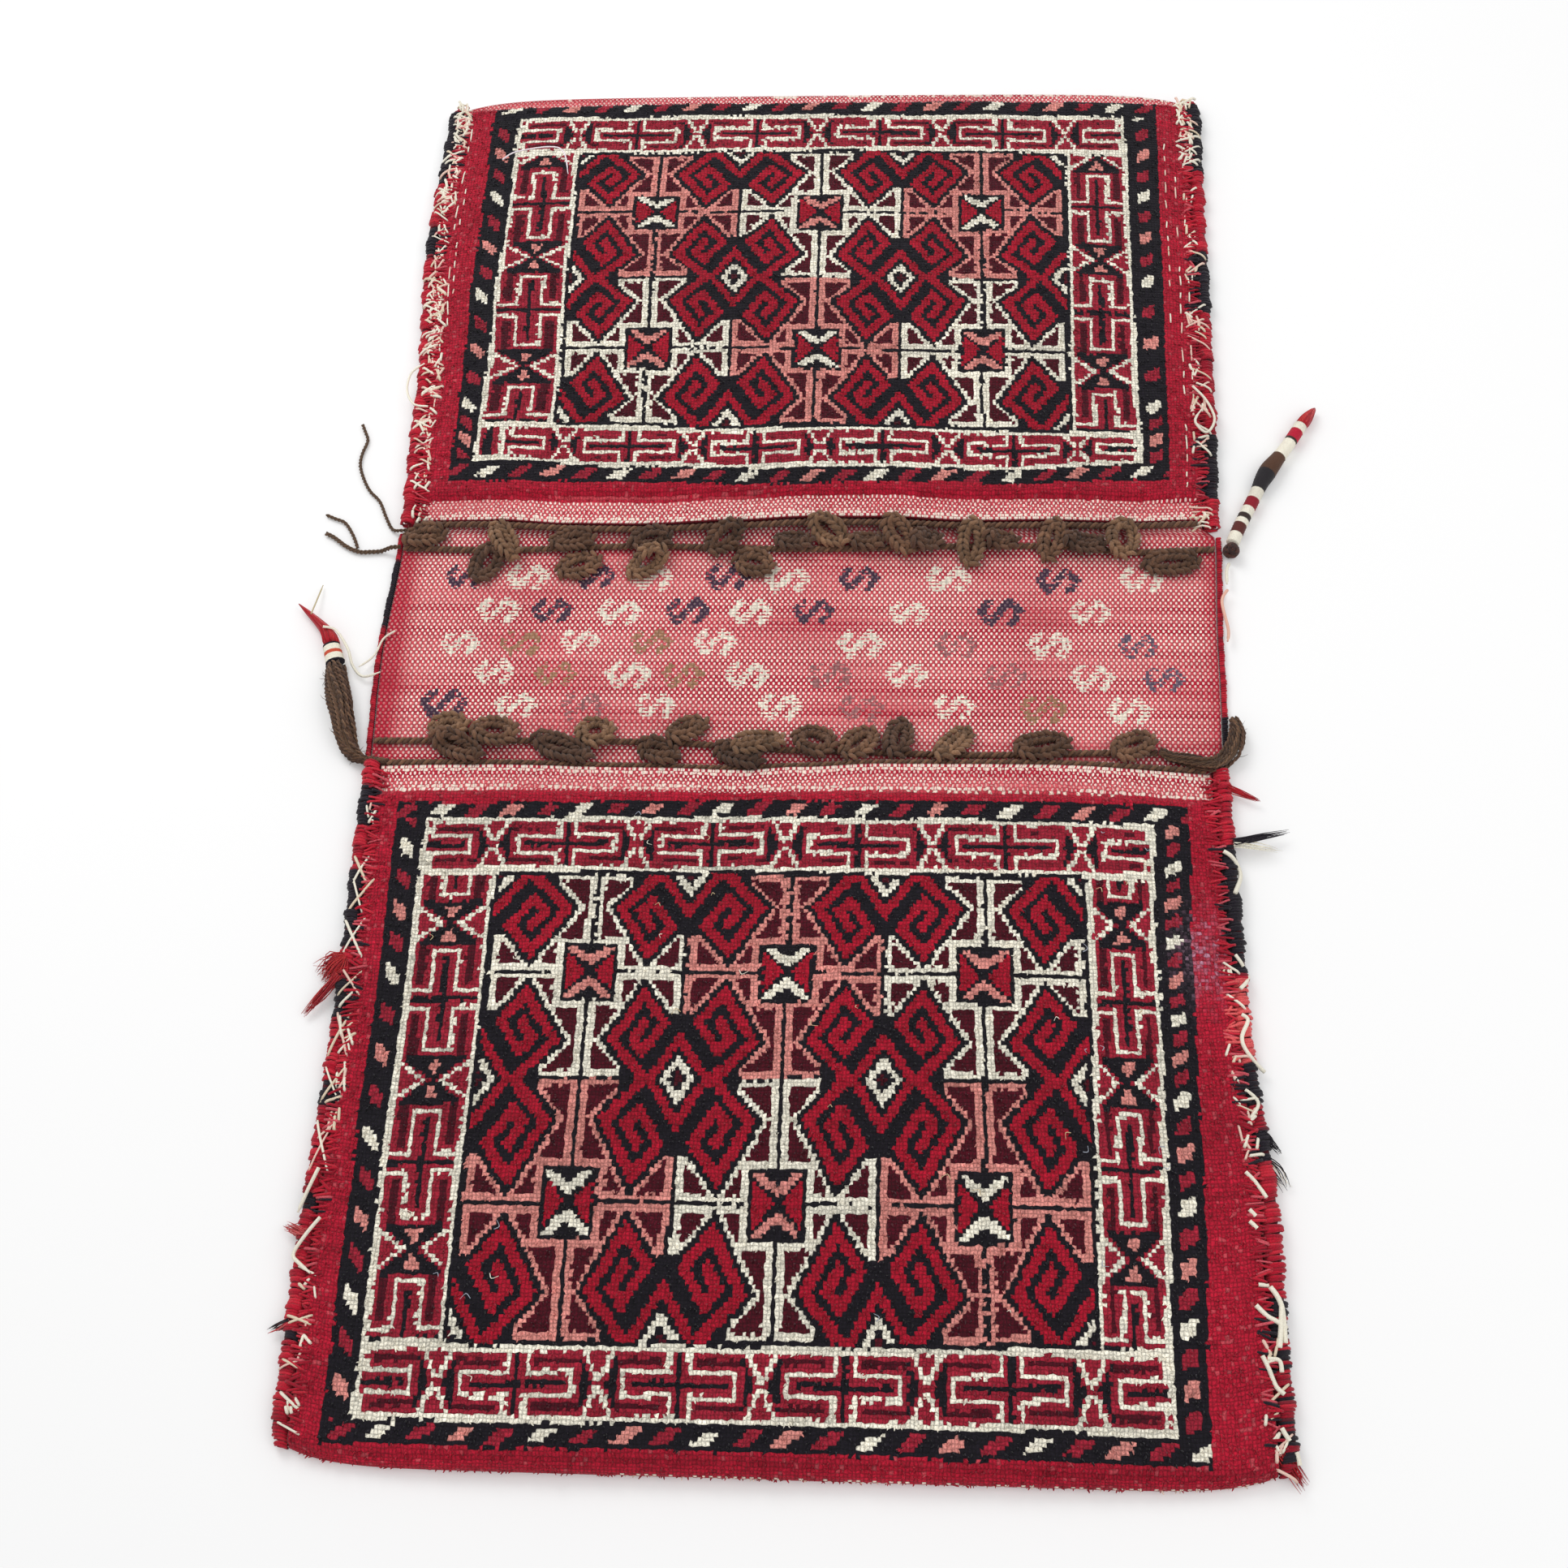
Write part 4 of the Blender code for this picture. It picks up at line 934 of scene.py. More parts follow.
def face_shape(pocket, dice):
    """A face's outer and inner points from its mouth round the fold, and the rows before the fold."""
    count = int((HALF_LENGTH - pocket.mouth) / KNOT_HEIGHT)

    def face_column(lift):
        def column(u):
            mouth, (turn, _) = mouth_y(pocket, u), fold_middle(pocket, u)

            def at(t):
                y = mouth + (turn - mouth) * t
                return y, FLAT_WEAVE + gape(pocket, u, y) + (face_thickness(pocket, y) if lift else 0.0)
            return at
        return column

    def fold_column(thick):
        def column(u):
            turn, radius = fold_middle(pocket, u)
            return lambda angle: (turn + pocket.side * math.cos(angle) * (radius + thick),
                                  FLAT_WEAVE + radius + math.sin(angle) * (radius + thick))
        return column

    turns = [math.pi / 2 - math.pi * k / FOLD_ROWS for k in range(1, FOLD_ROWS + 1)]
    face = cloth_rows(np.linspace(0, 1, count + 1), FACE_COLUMNS, face_column(True))
    x, y = face[..., 0] * 1000, face[..., 1] * 1000
    inside = np.zeros(face.shape[:2])
    inside[2:, 2:-2] = 1.0
    face[..., 2] += inside * (UNEVEN_CLOTH * slow_noise(x, y, dice, 60)
                              + dice.normal(0, KNOT_RISE, inside.shape))
    for axis in (0, 1):
        face[..., axis] += inside * dice.normal(0, KNOT_STRAY, inside.shape)
    outer = np.concatenate([face, cloth_rows(turns, FACE_COLUMNS, fold_column(FLAT_WEAVE))])
    inner = np.concatenate([cloth_rows(np.linspace(0, 1, INNER_ROWS), FACE_COLUMNS, face_column(False)),
                            cloth_rows(turns, FACE_COLUMNS, fold_column(0.0))])
    return outer, inner, count


def knot_dyes(pocket, lines, x, y, dice):
    """The pattern's dyes with the unevenness of hand dyeing, worn red knots and one rubbed patch."""
    stray_x = x + 1.1 * slow_noise(x, y, dice, 110)
    stray_y = y + 1.3 * slow_noise(x, y, dice, 120)
    pattern = Face(stray_x, stray_y, lines).pattern()
    dyes = np.array(PALETTE)[pattern]
    gain = 1 + 0.11 * dice.normal(size=pattern.shape) + 0.06 * dice.normal(size=(pattern.shape[0], 1))
    dyes = dyes * np.clip(gain, 0.55, 1.5)[..., None]
    plain_red = pattern == CRIMSON_KNOT
    near_edge = np.clip((abs(x) - 262) / 22, 0, 1)
    worn = plain_red & (dice.random(pattern.shape) < 0.05 + 0.06 * near_edge)
    dyes[worn] = dyes[worn] * 0.80 + np.array(linear(228, 138, 142)) * 0.20
    patch = np.exp(-((x - 264) / 15) ** 2 - ((y + 214) / 24) ** 2) if pocket.side < 0 else np.zeros(x.shape)
    return blend(dyes, linear(206, 160, 186), dice.random(x.shape) * patch * dice.choice([0.2, 0.9], x.shape))


def face_dyes(pocket, lines, outer, count, dice):
    """The dye of every knot and pass of weft, how much warp shows there, and where the weave is flat."""
    middle = (outer[:-1, :-1] + outer[1:, 1:]) / 2 * 1000
    x, y = middle[..., 0], middle[..., 1]
    dyes = knot_dyes(pocket, lines, x, y, dice)
    along = pocket.side * y / 1000
    flat = along < pocket.pile_start - 0.004
    if pocket.side > 0:
        flat |= along > pocket.pile_end + 0.002
    plain, shows = flat_dyes(x, y, dice)
    dyes = np.where(flat[..., None], plain, dyes)
    row, column = np.indices(x.shape)
    staggered = (row + column) % 2 == 0
    band_end = abs(along - pocket.pile_start + 0.006) < 0.0016
    edge_row = staggered & ((row < 2) | (band_end & (pocket.side < 0))) & (dice.random(x.shape) < 0.85)
    if pocket.side > 0:
        dyes = blend(dyes, CRIMSON, np.where((row >= count) & flat, np.clip((x + 140) / 120, 0, 1) * 0.7, 0))
        dashes = dice.random(x.shape[1]) < np.clip((x[0] + 100) / 150, 0.05, 0.42)
        edge_row |= dashes[None, :] & (row >= count) & (row < count + 3)
    else:
        folded = (row >= count + 3) & (row < count + 5) & (x > -90)
        edge_row |= staggered & folded & (dice.random(x.shape) < 0.6)
    dyes[edge_row] = np.array(linear(246, 222, 206))
    return dyes, shows, flat


def pocket_face(pocket, lines, seed):
    """One face from its mouth round the fold to the underside, knot by knot."""
    dice = np.random.default_rng(seed)
    outer, inner, count = face_shape(pocket, dice)
    dyes, shows, flat = face_dyes(pocket, lines, outer, count, dice)
    return cloth_shell(f"{pocket.name}_pocket_face", outer, inner, dyes, shows, face_flat_wool,
                       np.where(flat.mean(axis=1) > 0.5, 1, 0))


BRIDGE_COLUMNS, BRIDGE_ROW, BACK_END = 252, 0.0014, 0.534


def bridge_and_backs(seed):
    """The flat-woven length that is the bridge and both backs, from fold to fold. Its rows are fine where
    the bridge can be seen and coarse under the faces."""
    dice = np.random.default_rng(seed)
    fine = np.arange(-0.098, 0.1401, BRIDGE_ROW)

    def rows(places, height):
        def column(u):
            return lambda place: (fold_middle(place, u)[0] if isinstance(place, Pocket) else place, height)
        return cloth_rows([LOWER, *places, UPPER], BRIDGE_COLUMNS, column)

    near, far = np.linspace(-BACK_END, fine[0], 8)[1:-1], np.linspace(fine[-1], BACK_END, 8)[1:-1]
    outer = rows([*near, *fine, *far], FLAT_WEAVE)
    inner = rows(np.linspace(-BACK_END, BACK_END, 24)[1:-1], 0.0)
    x, y = outer[..., 0] * 1000, outer[..., 1] * 1000
    open_part = (y > -80) & (y < 118)
    outer[..., 2] += np.where(open_part, 0.00025 * slow_noise(x, y, dice, 50), 0.0)
    middle = (outer[:-1, :-1] + outer[1:, 1:]) / 2 * 1000
    dyes, shows = flat_dyes(middle[..., 0], middle[..., 1], dice)
    return cloth_shell("bridge_and_backs", outer, inner, dyes, shows, bridge_flat_wool,
                       np.ones(outer.shape[0] - 1, int))


# Small parts set again and again. A geometry tree sets one part over a surface or along a line, each time
# turned and sized a little unlike the last, and the result is kept as a mesh of its own.
class Placer:
    """A geometry tree that sets a part at many places. Its inputs are a source, the part, its finish, the
    seed and the numbers that turn and size the part."""

    def __init__(self, name, source, *numbers):
        inputs = {source: ("Geometry",), "Part": ("Object",), "Finish": ("Material",), "Seed": ("Int",)}
        inputs.update((key, ("Float",)) for key in numbers)
        self.tree, self.graph, self.given, self.out = new_tree(name, "GeometryNodeTree", inputs,
                                                               {"Pieces": ("Geometry",)})
        self.tree.is_modifier = True

    def number(self, name):
        """A number that each point or face of the source has."""
        named = self.graph.add("GeometryNodeInputNamedAttribute", {"Name": name}, data_type="FLOAT")
        return named.outputs["Attribute"]

    def between(self, low, high, draw):
        """A random value at each place, from the tree's own seed and the number of the draw."""
        seed = self.graph.math("ADD", self.given["Seed"], draw)
        made = self.graph.add("FunctionNodeRandomValue", {"Seed": seed}, data_type="FLOAT")
        for socket, value in zip((s for s in made.inputs if s.type == "VALUE"), (low, high)):
            self.graph.give(socket, value)
        return next(s for s in made.outputs if s.type == "VALUE")

    def about(self, middle, reach, draw):
        """A random value about a middle, as far each way as the input says."""
        low = self.graph.math("MULTIPLY", self.given[reach], -1.0)
        return self.graph.math("ADD", self.between(low, self.given[reach], draw), middle)

    def turned(self, **angles):
        angles = self.graph.add("ShaderNodeCombineXYZ", angles)
        return self.graph.add("FunctionNodeEulerToRotation", {0: angles.outputs[0]}).outputs[0]

    def place_parts(self, points, turn, size):
        """Sets the part on each point, as real geometry in the given finish."""
        part = self.graph.add("GeometryNodeObjectInfo", {"Object": self.given["Part"]},
                              transform_space="ORIGINAL")
        placed = self.graph.add("GeometryNodeInstanceOnPoints", {
            "Points": points, "Instance": part.outputs["Geometry"], "Rotation": turn, "Scale": size})
        real = self.graph.add("GeometryNodeRealizeInstances", {0: placed.outputs[0]})
        finished = self.graph.add("GeometryNodeSetMaterial", {"Geometry": real.outputs[0],
                                                              "Material": self.given["Finish"]})
        self.graph.give(self.out["Pieces"], finished.outputs[0])

    def grown(self, name, source, values):
        """The mesh that the tree makes on a source mesh, as an object of its own."""
        carrier = in_scene(name + "_carrier", source)
        modifier = carrier.modifiers.new(self.tree.name, "NODES")
        modifier.node_group = self.tree
        for socket in self.tree.interface.items_tree:
            if socket.name in values:
                modifier[socket.identifier] = values[socket.name]
        mesh = bpy.data.meshes.new_from_object(carrier.evaluated_get(bpy.context.evaluated_depsgraph_get()))
        mesh.name = name
        bpy.data.objects.remove(carrier, do_unlink=True)
        return in_scene(name, mesh)


def hidden_part(yarns, name, finish):
    """A part that is only set again and again, kept out of the scene itself. Its source gives it its dye."""
    made = yarns.build(name, finish)
    made.data.attributes.remove(made.data.attributes["dye"])
    bpy.context.scene.collection.objects.unlink(made)
    return made


def surface_placer():
    """Sets parts all over a surface, standing on it and leaning as the nap does."""
    made = Placer("scatter_over_a_surface", "Surface", "Density", "Nap", "Stray", "Smallest")
    density = made.graph.math("MULTIPLY", made.number("fuzz"), made.given["Density"])
    spots = made.graph.add("GeometryNodeDistributePointsOnFaces", {
        "Mesh": made.given["Surface"], "Density": density, "Seed": made.given["Seed"]})
    stand = made.turned(X=made.about(made.given["Nap"], "Stray", 1), Y=made.about(0.0, "Stray", 2),
                        Z=made.between(-0.8, 0.8, 3))
    made.place_parts(spots.outputs["Points"], stand, made.between(made.given["Smallest"], 1.0, 4))
    return made


def line_placer():
    """Sets parts along a line, upright and facing along it, each leant a little."""
    made = Placer("set_along_a_line", "Line", "Spacing", "Lean", "Turn Jitter", "Size Jitter")
    add = made.graph.add
    line = add("GeometryNodeMeshToCurve", {0: made.given["Line"]})
    even = add("GeometryNodeResampleCurve", mode="LENGTH")
    for socket, value in (("Curve", line.outputs[0]), ("Length", made.given["Spacing"])):
        made.graph.give(even.inputs[socket], value)
    tangent = add("GeometryNodeInputTangent").outputs[0]
    forward = add("FunctionNodeAlignRotationToVector", {"Vector": tangent}, axis="X")
    upright = add("FunctionNodeAlignRotationToVector", {"Rotation": forward.outputs[0], "Vector": (0, 0, 1)},
                  axis="Z", pivot_axis="X")
    lean = made.turned(Z=made.about(made.given["Lean"], "Turn Jitter", 1))
    leant = add("FunctionNodeRotateRotation", {"Rotation": upright.outputs[0], "Rotate By": lean},
                rotation_space="LOCAL")
    size = made.graph.math("MULTIPLY", made.number("size"), made.about(1.0, "Size Jitter", 2))
    made.place_parts(even.outputs[0], leant.outputs[0], size)
    return made


over_surface, along_line = surface_placer(), line_placer()


def set_along(name, part, points, sizes, dyes, spacing, finish, seed, turn_jitter, size_jitter, lean=0.0,
              closed=False):
    """A piece made of one part set again and again along a line, with a size and a dye at each point."""
    count = len(points)
    line = bpy.data.meshes.new(name + "_line")
    edges = [(k, (k + 1) % count) for k in range(count if closed else count - 1)]
    line.from_pydata([tuple(p) for p in points], edges, [])
    line.attributes.new("size", "FLOAT", "POINT").data.foreach_set("value", sizes)
    dye_points(line, dyes)
    made = along_line.grown(name, line, {
        "Part": part, "Finish": finish, "Seed": seed, "Spacing": spacing, "Lean": lean,
        "Turn Jitter": turn_jitter, "Size Jitter": size_jitter})
    made.data.shade_smooth()
    return made


loose_pile = wool("loose_pile_ends", fibre_scale=700, streak=0.6, abrash=0.3, sheen=0.1, bump=0.3)
PILE_ENDS_A_SQUARE_METRE = 60000.0


def pile_end():
    """The wool of a cut knot that stands over its neighbours: a short soft point."""
    yarns = Yarns()
    yarns.tube([Vector((0, 0, -0.0003)), Vector((0, 0.0003, 0.0025))], [0.00090, 0.00035], CRIMSON, 3)
    return hidden_part(yarns, "pile_end", loose_pile)


pile_tip = pile_end()


def pile_fuzz(surface, name, seed):
    """The uneven wool ends all over one face, each in the dye of its own knot."""
    made = over_surface.grown(name, surface.data.copy(), {
        "Part": pile_tip, "Finish": loose_pile, "Seed": seed, "Density": PILE_ENDS_A_SQUARE_METRE,
        "Nap": 0.95, "Stray": 0.55, "Smallest": 0.5})
    dress(made, "woven_bag")


upper_face = pocket_face(UPPER, UPPER_LINES, 11)
lower_face = pocket_face(LOWER, LOWER_LINES, 12)
backs = bridge_and_backs(13)
for piece, flat_size in ((upper_face, (0.575, 0.432)), (lower_face, (0.575, 0.471)), (backs, (0.58, 1.068))):
    dress(piece, "woven_bag")
pile_fuzz(upper_face, "upper_pile_ends", 41)
pile_fuzz(lower_face, "lower_pile_ends", 42)


# Overcast sides. Thick wool is wound over both layers of cloth along each side, navy-black and crimson in
# turn, and a thinner turn of it covers the bridge's selvedges.
def one_turn(name, width, height, yarn):
    """One turn of overcasting, as wide and high as the binding that it covers."""
    shape = ((0.0, 0.16), (0.02, 0.62), (0.22, 0.93), (0.55, 1.0), (0.86, 0.78), (1.0, 0.36), (0.86, 0.03),
             (0.40, 0.0))
    path = [Vector((0.0006 * math.sin(3 * a), yarn + (width - 2 * yarn) * a, yarn + (height - 2 * yarn) * b))
            for a, b in shape]
    yarns = Yarns()
    yarns.tube(path, yarn, CRIMSON, 6, closed=True)
    return hidden_part(yarns, name, overcast_wool)


overcast_wool = wool("overcast_wool", fibre_scale=1200, streak=0.45, abrash=0.25, bump=0.7)
wide_turn = one_turn("pocket_turn", BINDING_WIDTH, BINDING_HEIGHT, 0.00125)
thin_turn = one_turn("bridge_turn", BRIDGE_EDGE_WIDTH, BRIDGE_EDGE_HEIGHT, 0.0009)
WIDE_SPACING, THIN_SPACING = 0.0019, 0.0017
CRIMSON_YARN, NAVY_YARN, FADED_YARN = linear(184, 16, 44), linear(34, 28, 38), linear(224, 92, 94)
RED_YARNS = (CRIMSON_YARN, linear(200, 36, 56), linear(160, 14, 40))

# Where each side is wound in navy-black, from one y to another. The rest is crimson.
DARK_TURNS = {
    "upper_left": ((0.443, 0.521), (0.369, 0.400)),
    "upper_right": ((0.455, 0.528), (0.312, 0.373), (0.143, 0.197)),
    "lower_left": ((-0.127, -0.100), (-0.219, -0.162), (-0.266, -0.240), (-0.328, -0.310), (-0.395, -0.382),
                   (-0.470, -0.463)),
    "lower_right": ((-0.227, -0.134), (-0.310, -0.285), (-0.348, -0.328), (-0.472, -0.428),
                    (-0.523, -0.486)),
    "bridge_left": ((0.034, 0.089),),
    "bridge_right": ((-0.075, -0.034),),
}
FADED_TURNS = {"lower_right": (-0.284, -0.229)}

# Ends and worn places where the wool stands out in a brush: side, root, tip, spread, fibres and dyes.
TUFTS = {
    "lower_right": (
        ((0.286, -0.091, 0.006), (0.309, -0.100, 0.004), 0.0012, 26, RED_FIBRES),
        ((0.287, -0.132, 0.008), (0.325, -0.122, 0.006), 0.0022, 34, [NAVY_YARN]),
        ((0.287, -0.133, 0.008), (0.320, -0.135, 0.005), 0.0030, 12, [CREAM]),
        ((0.290, -0.328, 0.007), (0.303, -0.341, 0.004), 0.0030, 26, [NAVY_YARN]),
        ((0.292, -0.346, 0.006), (0.304, -0.364, 0.003), 0.0060, 26, [CREAM, NAVY_YARN]),
        ((0.288, -0.515, 0.007), (0.303, -0.536, 0.002), 0.0040, 60, RED_FIBRES)),
    "lower_left": (
        ((-0.292, -0.222, 0.008), (-0.309, -0.236, 0.004), 0.0120, 110, RED_FIBRES),
        ((-0.294, -0.236, 0.008), (-0.316, -0.262, 0.003), 0.0030, 44, RED_FIBRES),
        ((-0.292, -0.405, 0.008), (-0.308, -0.398, 0.004), 0.0034, 34, [FADED_YARN]),
        ((-0.294, -0.458, 0.007), (-0.309, -0.464, 0.003), 0.0030, 20, [FADED_YARN, NAVY_YARN])),
}


SIDES = ((-1, "left", "navy_binding"), (1, "right", "crimson_binding"))


def turn_dye(key, y, dice):
    """The yarn that a side is wound with at y."""
    place = y + dice.uniform(-0.0015, 0.0015)
    mixed = key == "lower_right" and y < -0.40 and dice.random() < 0.40
    if not mixed and any(low <= place <= high for low, high in DARK_TURNS[key]):
        return NAVY_YARN
    low, high = FADED_TURNS.get(key, (1, 1))
    if low <= place <= high:
        return FADED_YARN
    return dice.choice(RED_YARNS)


def join(made, extra):
    """Makes two objects one."""
    both = [made, extra]
    with bpy.context.temp_override(active_object=made, object=made, selected_editable_objects=both,
                                   selected_objects=both):
        bpy.ops.object.join()


def overcast_side(key, node, side, start, end, width, height, turn, spacing, seed):
    """The overcasting of one side from start to end, with its tufts."""
    dice = random.Random(seed)
    if (end - start) * side > 0:
        start, end = end, start
    count = int(abs(end - start) / 0.0015)
    points, full, dyes = [], [], []
    dye = CRIMSON_YARN
    for k in range(count + 1):
        y = start + (end - start) * k / count
        if k % 2 == 0:
            dye = turn_dye(key, y, dice)
        points.append(Vector((side * (outer_edge(side, y) - width), y, 0.0002)))
        lump = 0.93 + 0.045 * math.sin(y * 240 + seed) + 0.02 * math.sin(y * 610)
        if key == "lower_right":
            lump += 0.09 * math.exp(-((y + 0.400) / 0.030) ** 2)
        to_fold = HALF_LENGTH - 0.006 - abs(y)
        full.append(lump * min(0.56 + to_fold / 0.030, 1.0))
        dyes.append(dye)
    more = Yarns()
    core = [Vector((side * (outer_edge(side, p.y) - width * 0.52), p.y, height * 0.42))
            for p in points[8:-8:6]]
    more.tube(core, width * 0.33, MAROON, 8, flat=0.8)
    for number, (root, tip, spread, fibres, brush) in enumerate(TUFTS.get(key, ())):
        tuft(more, Vector(root), Vector(tip), spread, fibres, brush, radius=0.0004, seed=seed + number)
    piece = set_along(key + "_overcast", turn, points, full, dyes, spacing, overcast_wool, seed,
                      turn_jitter=0.12, size_jitter=0.045, lean=0.20 * side)
    join(piece, more.build(key + "_core_and_tufts", overcast_wool))
    dress(piece, node)


for pocket in (UPPER, LOWER):
    start, end = pocket.side * (pocket.mouth - 0.4 * EDGE_EASE), pocket.side * (HALF_LENGTH - 0.010)
    for side, word, slot in SIDES:
        key = f"{pocket.name}_{word}"
        overcast_side(key, key + "_binding", side, start, end, BINDING_WIDTH, BINDING_HEIGHT, wide_turn,
                      WIDE_SPACING, 5 + side)
low, high = -LOWER.mouth + 1.6 * EDGE_EASE, UPPER.mouth - 1.6 * EDGE_EASE
for side, word, slot in SIDES:
    overcast_side(f"bridge_{word}", f"bridge_{word}_edge", side, low, high, BRIDGE_EDGE_WIDTH,
                  BRIDGE_EDGE_HEIGHT, thin_turn, THIN_SPACING, 9 + side)


# Cream lacing. Cotton thread crosses to and fro over each overcast side and into the face's edge, with
# knots here and there, and rows of cream running stitches lie in the crimson margins.
LACE_RADIUS = 0.00085
cream_cotton = wool("cream_cotton_thread", fibre_scale=1700, streak=0.22, abrash=0.12, sheen=0.05, bump=0.5)


def over_all(x, y, side):
    """The height to clear cloth and binding there."""
    edge = cloth_edge(side, y)
    if abs(x) > edge:
        share = (abs(x) - edge) / BINDING_WIDTH
        round_over = (0.80, 0.98, 1.0, 0.92, 0.70, 0.40)
        k = min(max(share, 0.0) * 5, 4.99)
        return BINDING_HEIGHT * (round_over[int(k)] + (round_over[int(k) + 1] - round_over[int(k)]) * (k % 1))
    return max(face_top(x, y), BINDING_HEIGHT * 0.8 if edge - abs(x) < 0.002 else 0.0)


def laid_stitch(yarns, side, start, end, radius, dye, points=9):
    """A thread from one place to another, lying on whatever is under it."""
    path = []
    for k in range(points):
        t = k / (points - 1)
        x, y = start[0] + (end[0] - start[0]) * t, start[1] + (end[1] - start[1]) * t
        z = over_all(x, y, side) + radius * (0.75 if 0 < k < points - 1 else -0.6)
        path.append(Vector((x, y, z)))
    for _ in range(2):
        for k in range(1, points - 1):
            path[k].z = max(path[k].z, 0.5 * (path[k - 1].z + path[k + 1].z))
    yarns.tube(path, radius, dye, 6)


THREAD_DYES = (CREAM, CREAM, linear(232, 214, 188), linear(240, 206, 190))


def loose_thread(yarns, places, radius, dye, points=24):
    """A loose end of thread through the places given."""
    path = smooth_route(places, points)
    yarns.tube(path, [radius * (1 if k < points - 3 else 0.6) for k in range(points)], dye, 6)


class Lacing:
    """The cream thread of one pocket's side: worked stitches, worn bunches and loose ends."""

    def __init__(self, side, seed):
        self.side, self.dice, self.yarns = side, random.Random(seed), Yarns()

    def across(self, x, y):
        """A place as far out from the cloth's edge as x says."""
        return self.side * (cloth_edge(self.side, y) + x), y

    def stitch(self, start, end, radius, points=9):
        laid_stitch(self.yarns, self.side, start, end, radius, self.dice.choice(THREAD_DYES), points)

    def scattered(self, span, pitch, run, out, into, chance, cross):
        """Uneven stitches over a span: spacing, length along it, reach each way and how many are left."""
        dice, y = self.dice, span[0]
        while y < span[1]:
            if dice.random() < chance:
                lean = dice.choice((-1, 1)) * run * dice.uniform(0.45, 1.0)
                for hand in (1, -1) if dice.random() < cross else (1,):
                    a, b = dice.uniform(*out), -dice.uniform(*into)
                    self.stitch(self.across(a, y + hand * lean / 2), self.across(b, y - hand * lean / 2),
                                LACE_RADIUS * dice.uniform(0.75, 1.15))
            y += pitch * dice.uniform(0.6, 1.4)

    def clumps(self, places):
        """Worn bunches where the binding meets the cloth: short ends that lie any way."""
        dice = self.dice
        for y, count, reach in places:
            for _ in range(count):
                lean, length = dice.gauss(math.pi / 2, 0.55), dice.uniform(0.5, 1.0) * reach
                x = self.across(dice.uniform(-0.006, 0.004), y)[0]
                at = y + dice.gauss(0, reach * 0.5)
                run_x, run_y = math.cos(lean) * length / 2, math.sin(lean) * length / 2
                self.stitch((x - run_x, at - run_y), (x + run_x, at + run_y),
                            LACE_RADIUS * dice.uniform(0.8, 1.3))

    def running(self, inset, span, dash, gap):
        """A row of running stitches in the margin, at one distance in from the side."""
        dice, y = self.dice, span[0]
        while y < span[1]:
            length = dash * dice.uniform(0.4, 1.3)
            if dice.random() < 0.75:
                ends = [(self.side * (cloth_edge(self.side, at) - inset - dice.uniform(0, 0.001)), at)
                        for at in (y, y + length)]
                self.stitch(*ends, 0.0006, points=6)
            y += length + gap * dice.uniform(0.6, 1.6)

    def loose(self, radius, *places, dye=CREAM, points=24):
        loose_thread(self.yarns, places, radius, dye, points)

    def laid(self, places, radius, points=20):
        """A thread through several places, lying on whatever is under it."""
        path = smooth_route([(x, y, 0.0) for x, y in places], points)
        heights = [over_all(p.x, p.y, self.side) + radius * 0.7 for p in path]
        for _ in range(2):
            heights = [max(h, 0.5 * (heights[max(k - 1, 0)] + heights[min(k + 1, points - 1)]))
                       for k, h in enumerate(heights)]
        self.yarns.tube([Vector((p.x, p.y, h)) for p, h in zip(path, heights)], radius, CREAM, 6)

    def finish(self, key):
        dress(self.yarns.build(key + "_lacing_thread", cream_cotton), key + "_lacing")


LOWER_RIGHT_THREADS = (
    (0.0015, ((0.2796, -0.1400), (0.2868, -0.1455), (0.2903, -0.1547), (0.2852, -0.1695))),
    (0.0012, ((0.2824, -0.2129), (0.2861, -0.2182), (0.2872, -0.2200))),
    (0.0013, ((0.2905, -0.2252), (0.2880, -0.2310), (0.2841, -0.2358))),
    (0.0013, ((0.2837, -0.2532), (0.2875, -0.2566), (0.2827, -0.2687), (0.2860, -0.2788), (0.2964, -0.2888))),
    (0.0011, ((0.2828, -0.3024), (0.2901, -0.3106), (0.2847, -0.3206))),
    (0.0013, ((0.2793, -0.3544), (0.2851, -0.3607), (0.2906, -0.3702))),
    (0.0014, ((0.2800, -0.3775), (0.2818, -0.3795), (0.2836, -0.3814))),
    (0.0014, ((0.2796, -0.3846), (0.2818, -0.3866), (0.2839, -0.3888))),
    (0.0016, ((0.2890, -0.4238), (0.2949, -0.4350), (0.2955, -0.4559))),
    (0.0016, ((0.2916, -0.4590), (0.2935, -0.4470), (0.2949, -0.4350))),
    (0.0015, ((0.2799, -0.4346), (0.2869, -0.4412), (0.2970, -0.4470))),
    (0.0013, ((0.2823, -0.4224), (0.2850, -0.4226), (0.2882, -0.4230))),
    (0.0014, ((0.2816, -0.4637), (0.2848, -0.4710), (0.2884, -0.4811), (0.2925, -0.4854))),
    (0.0013, ((0.2844, -0.4651), (0.2910, -0.4664), (0.2920, -0.4730))),
    (0.0014, ((0.2896, -0.5042), (0.2915, -0.5080), (0.2935, -0.5112))),
    (0.0014, ((0.2974, -0.5168), (0.2984, -0.5205), (0.2990, -0.5238))))


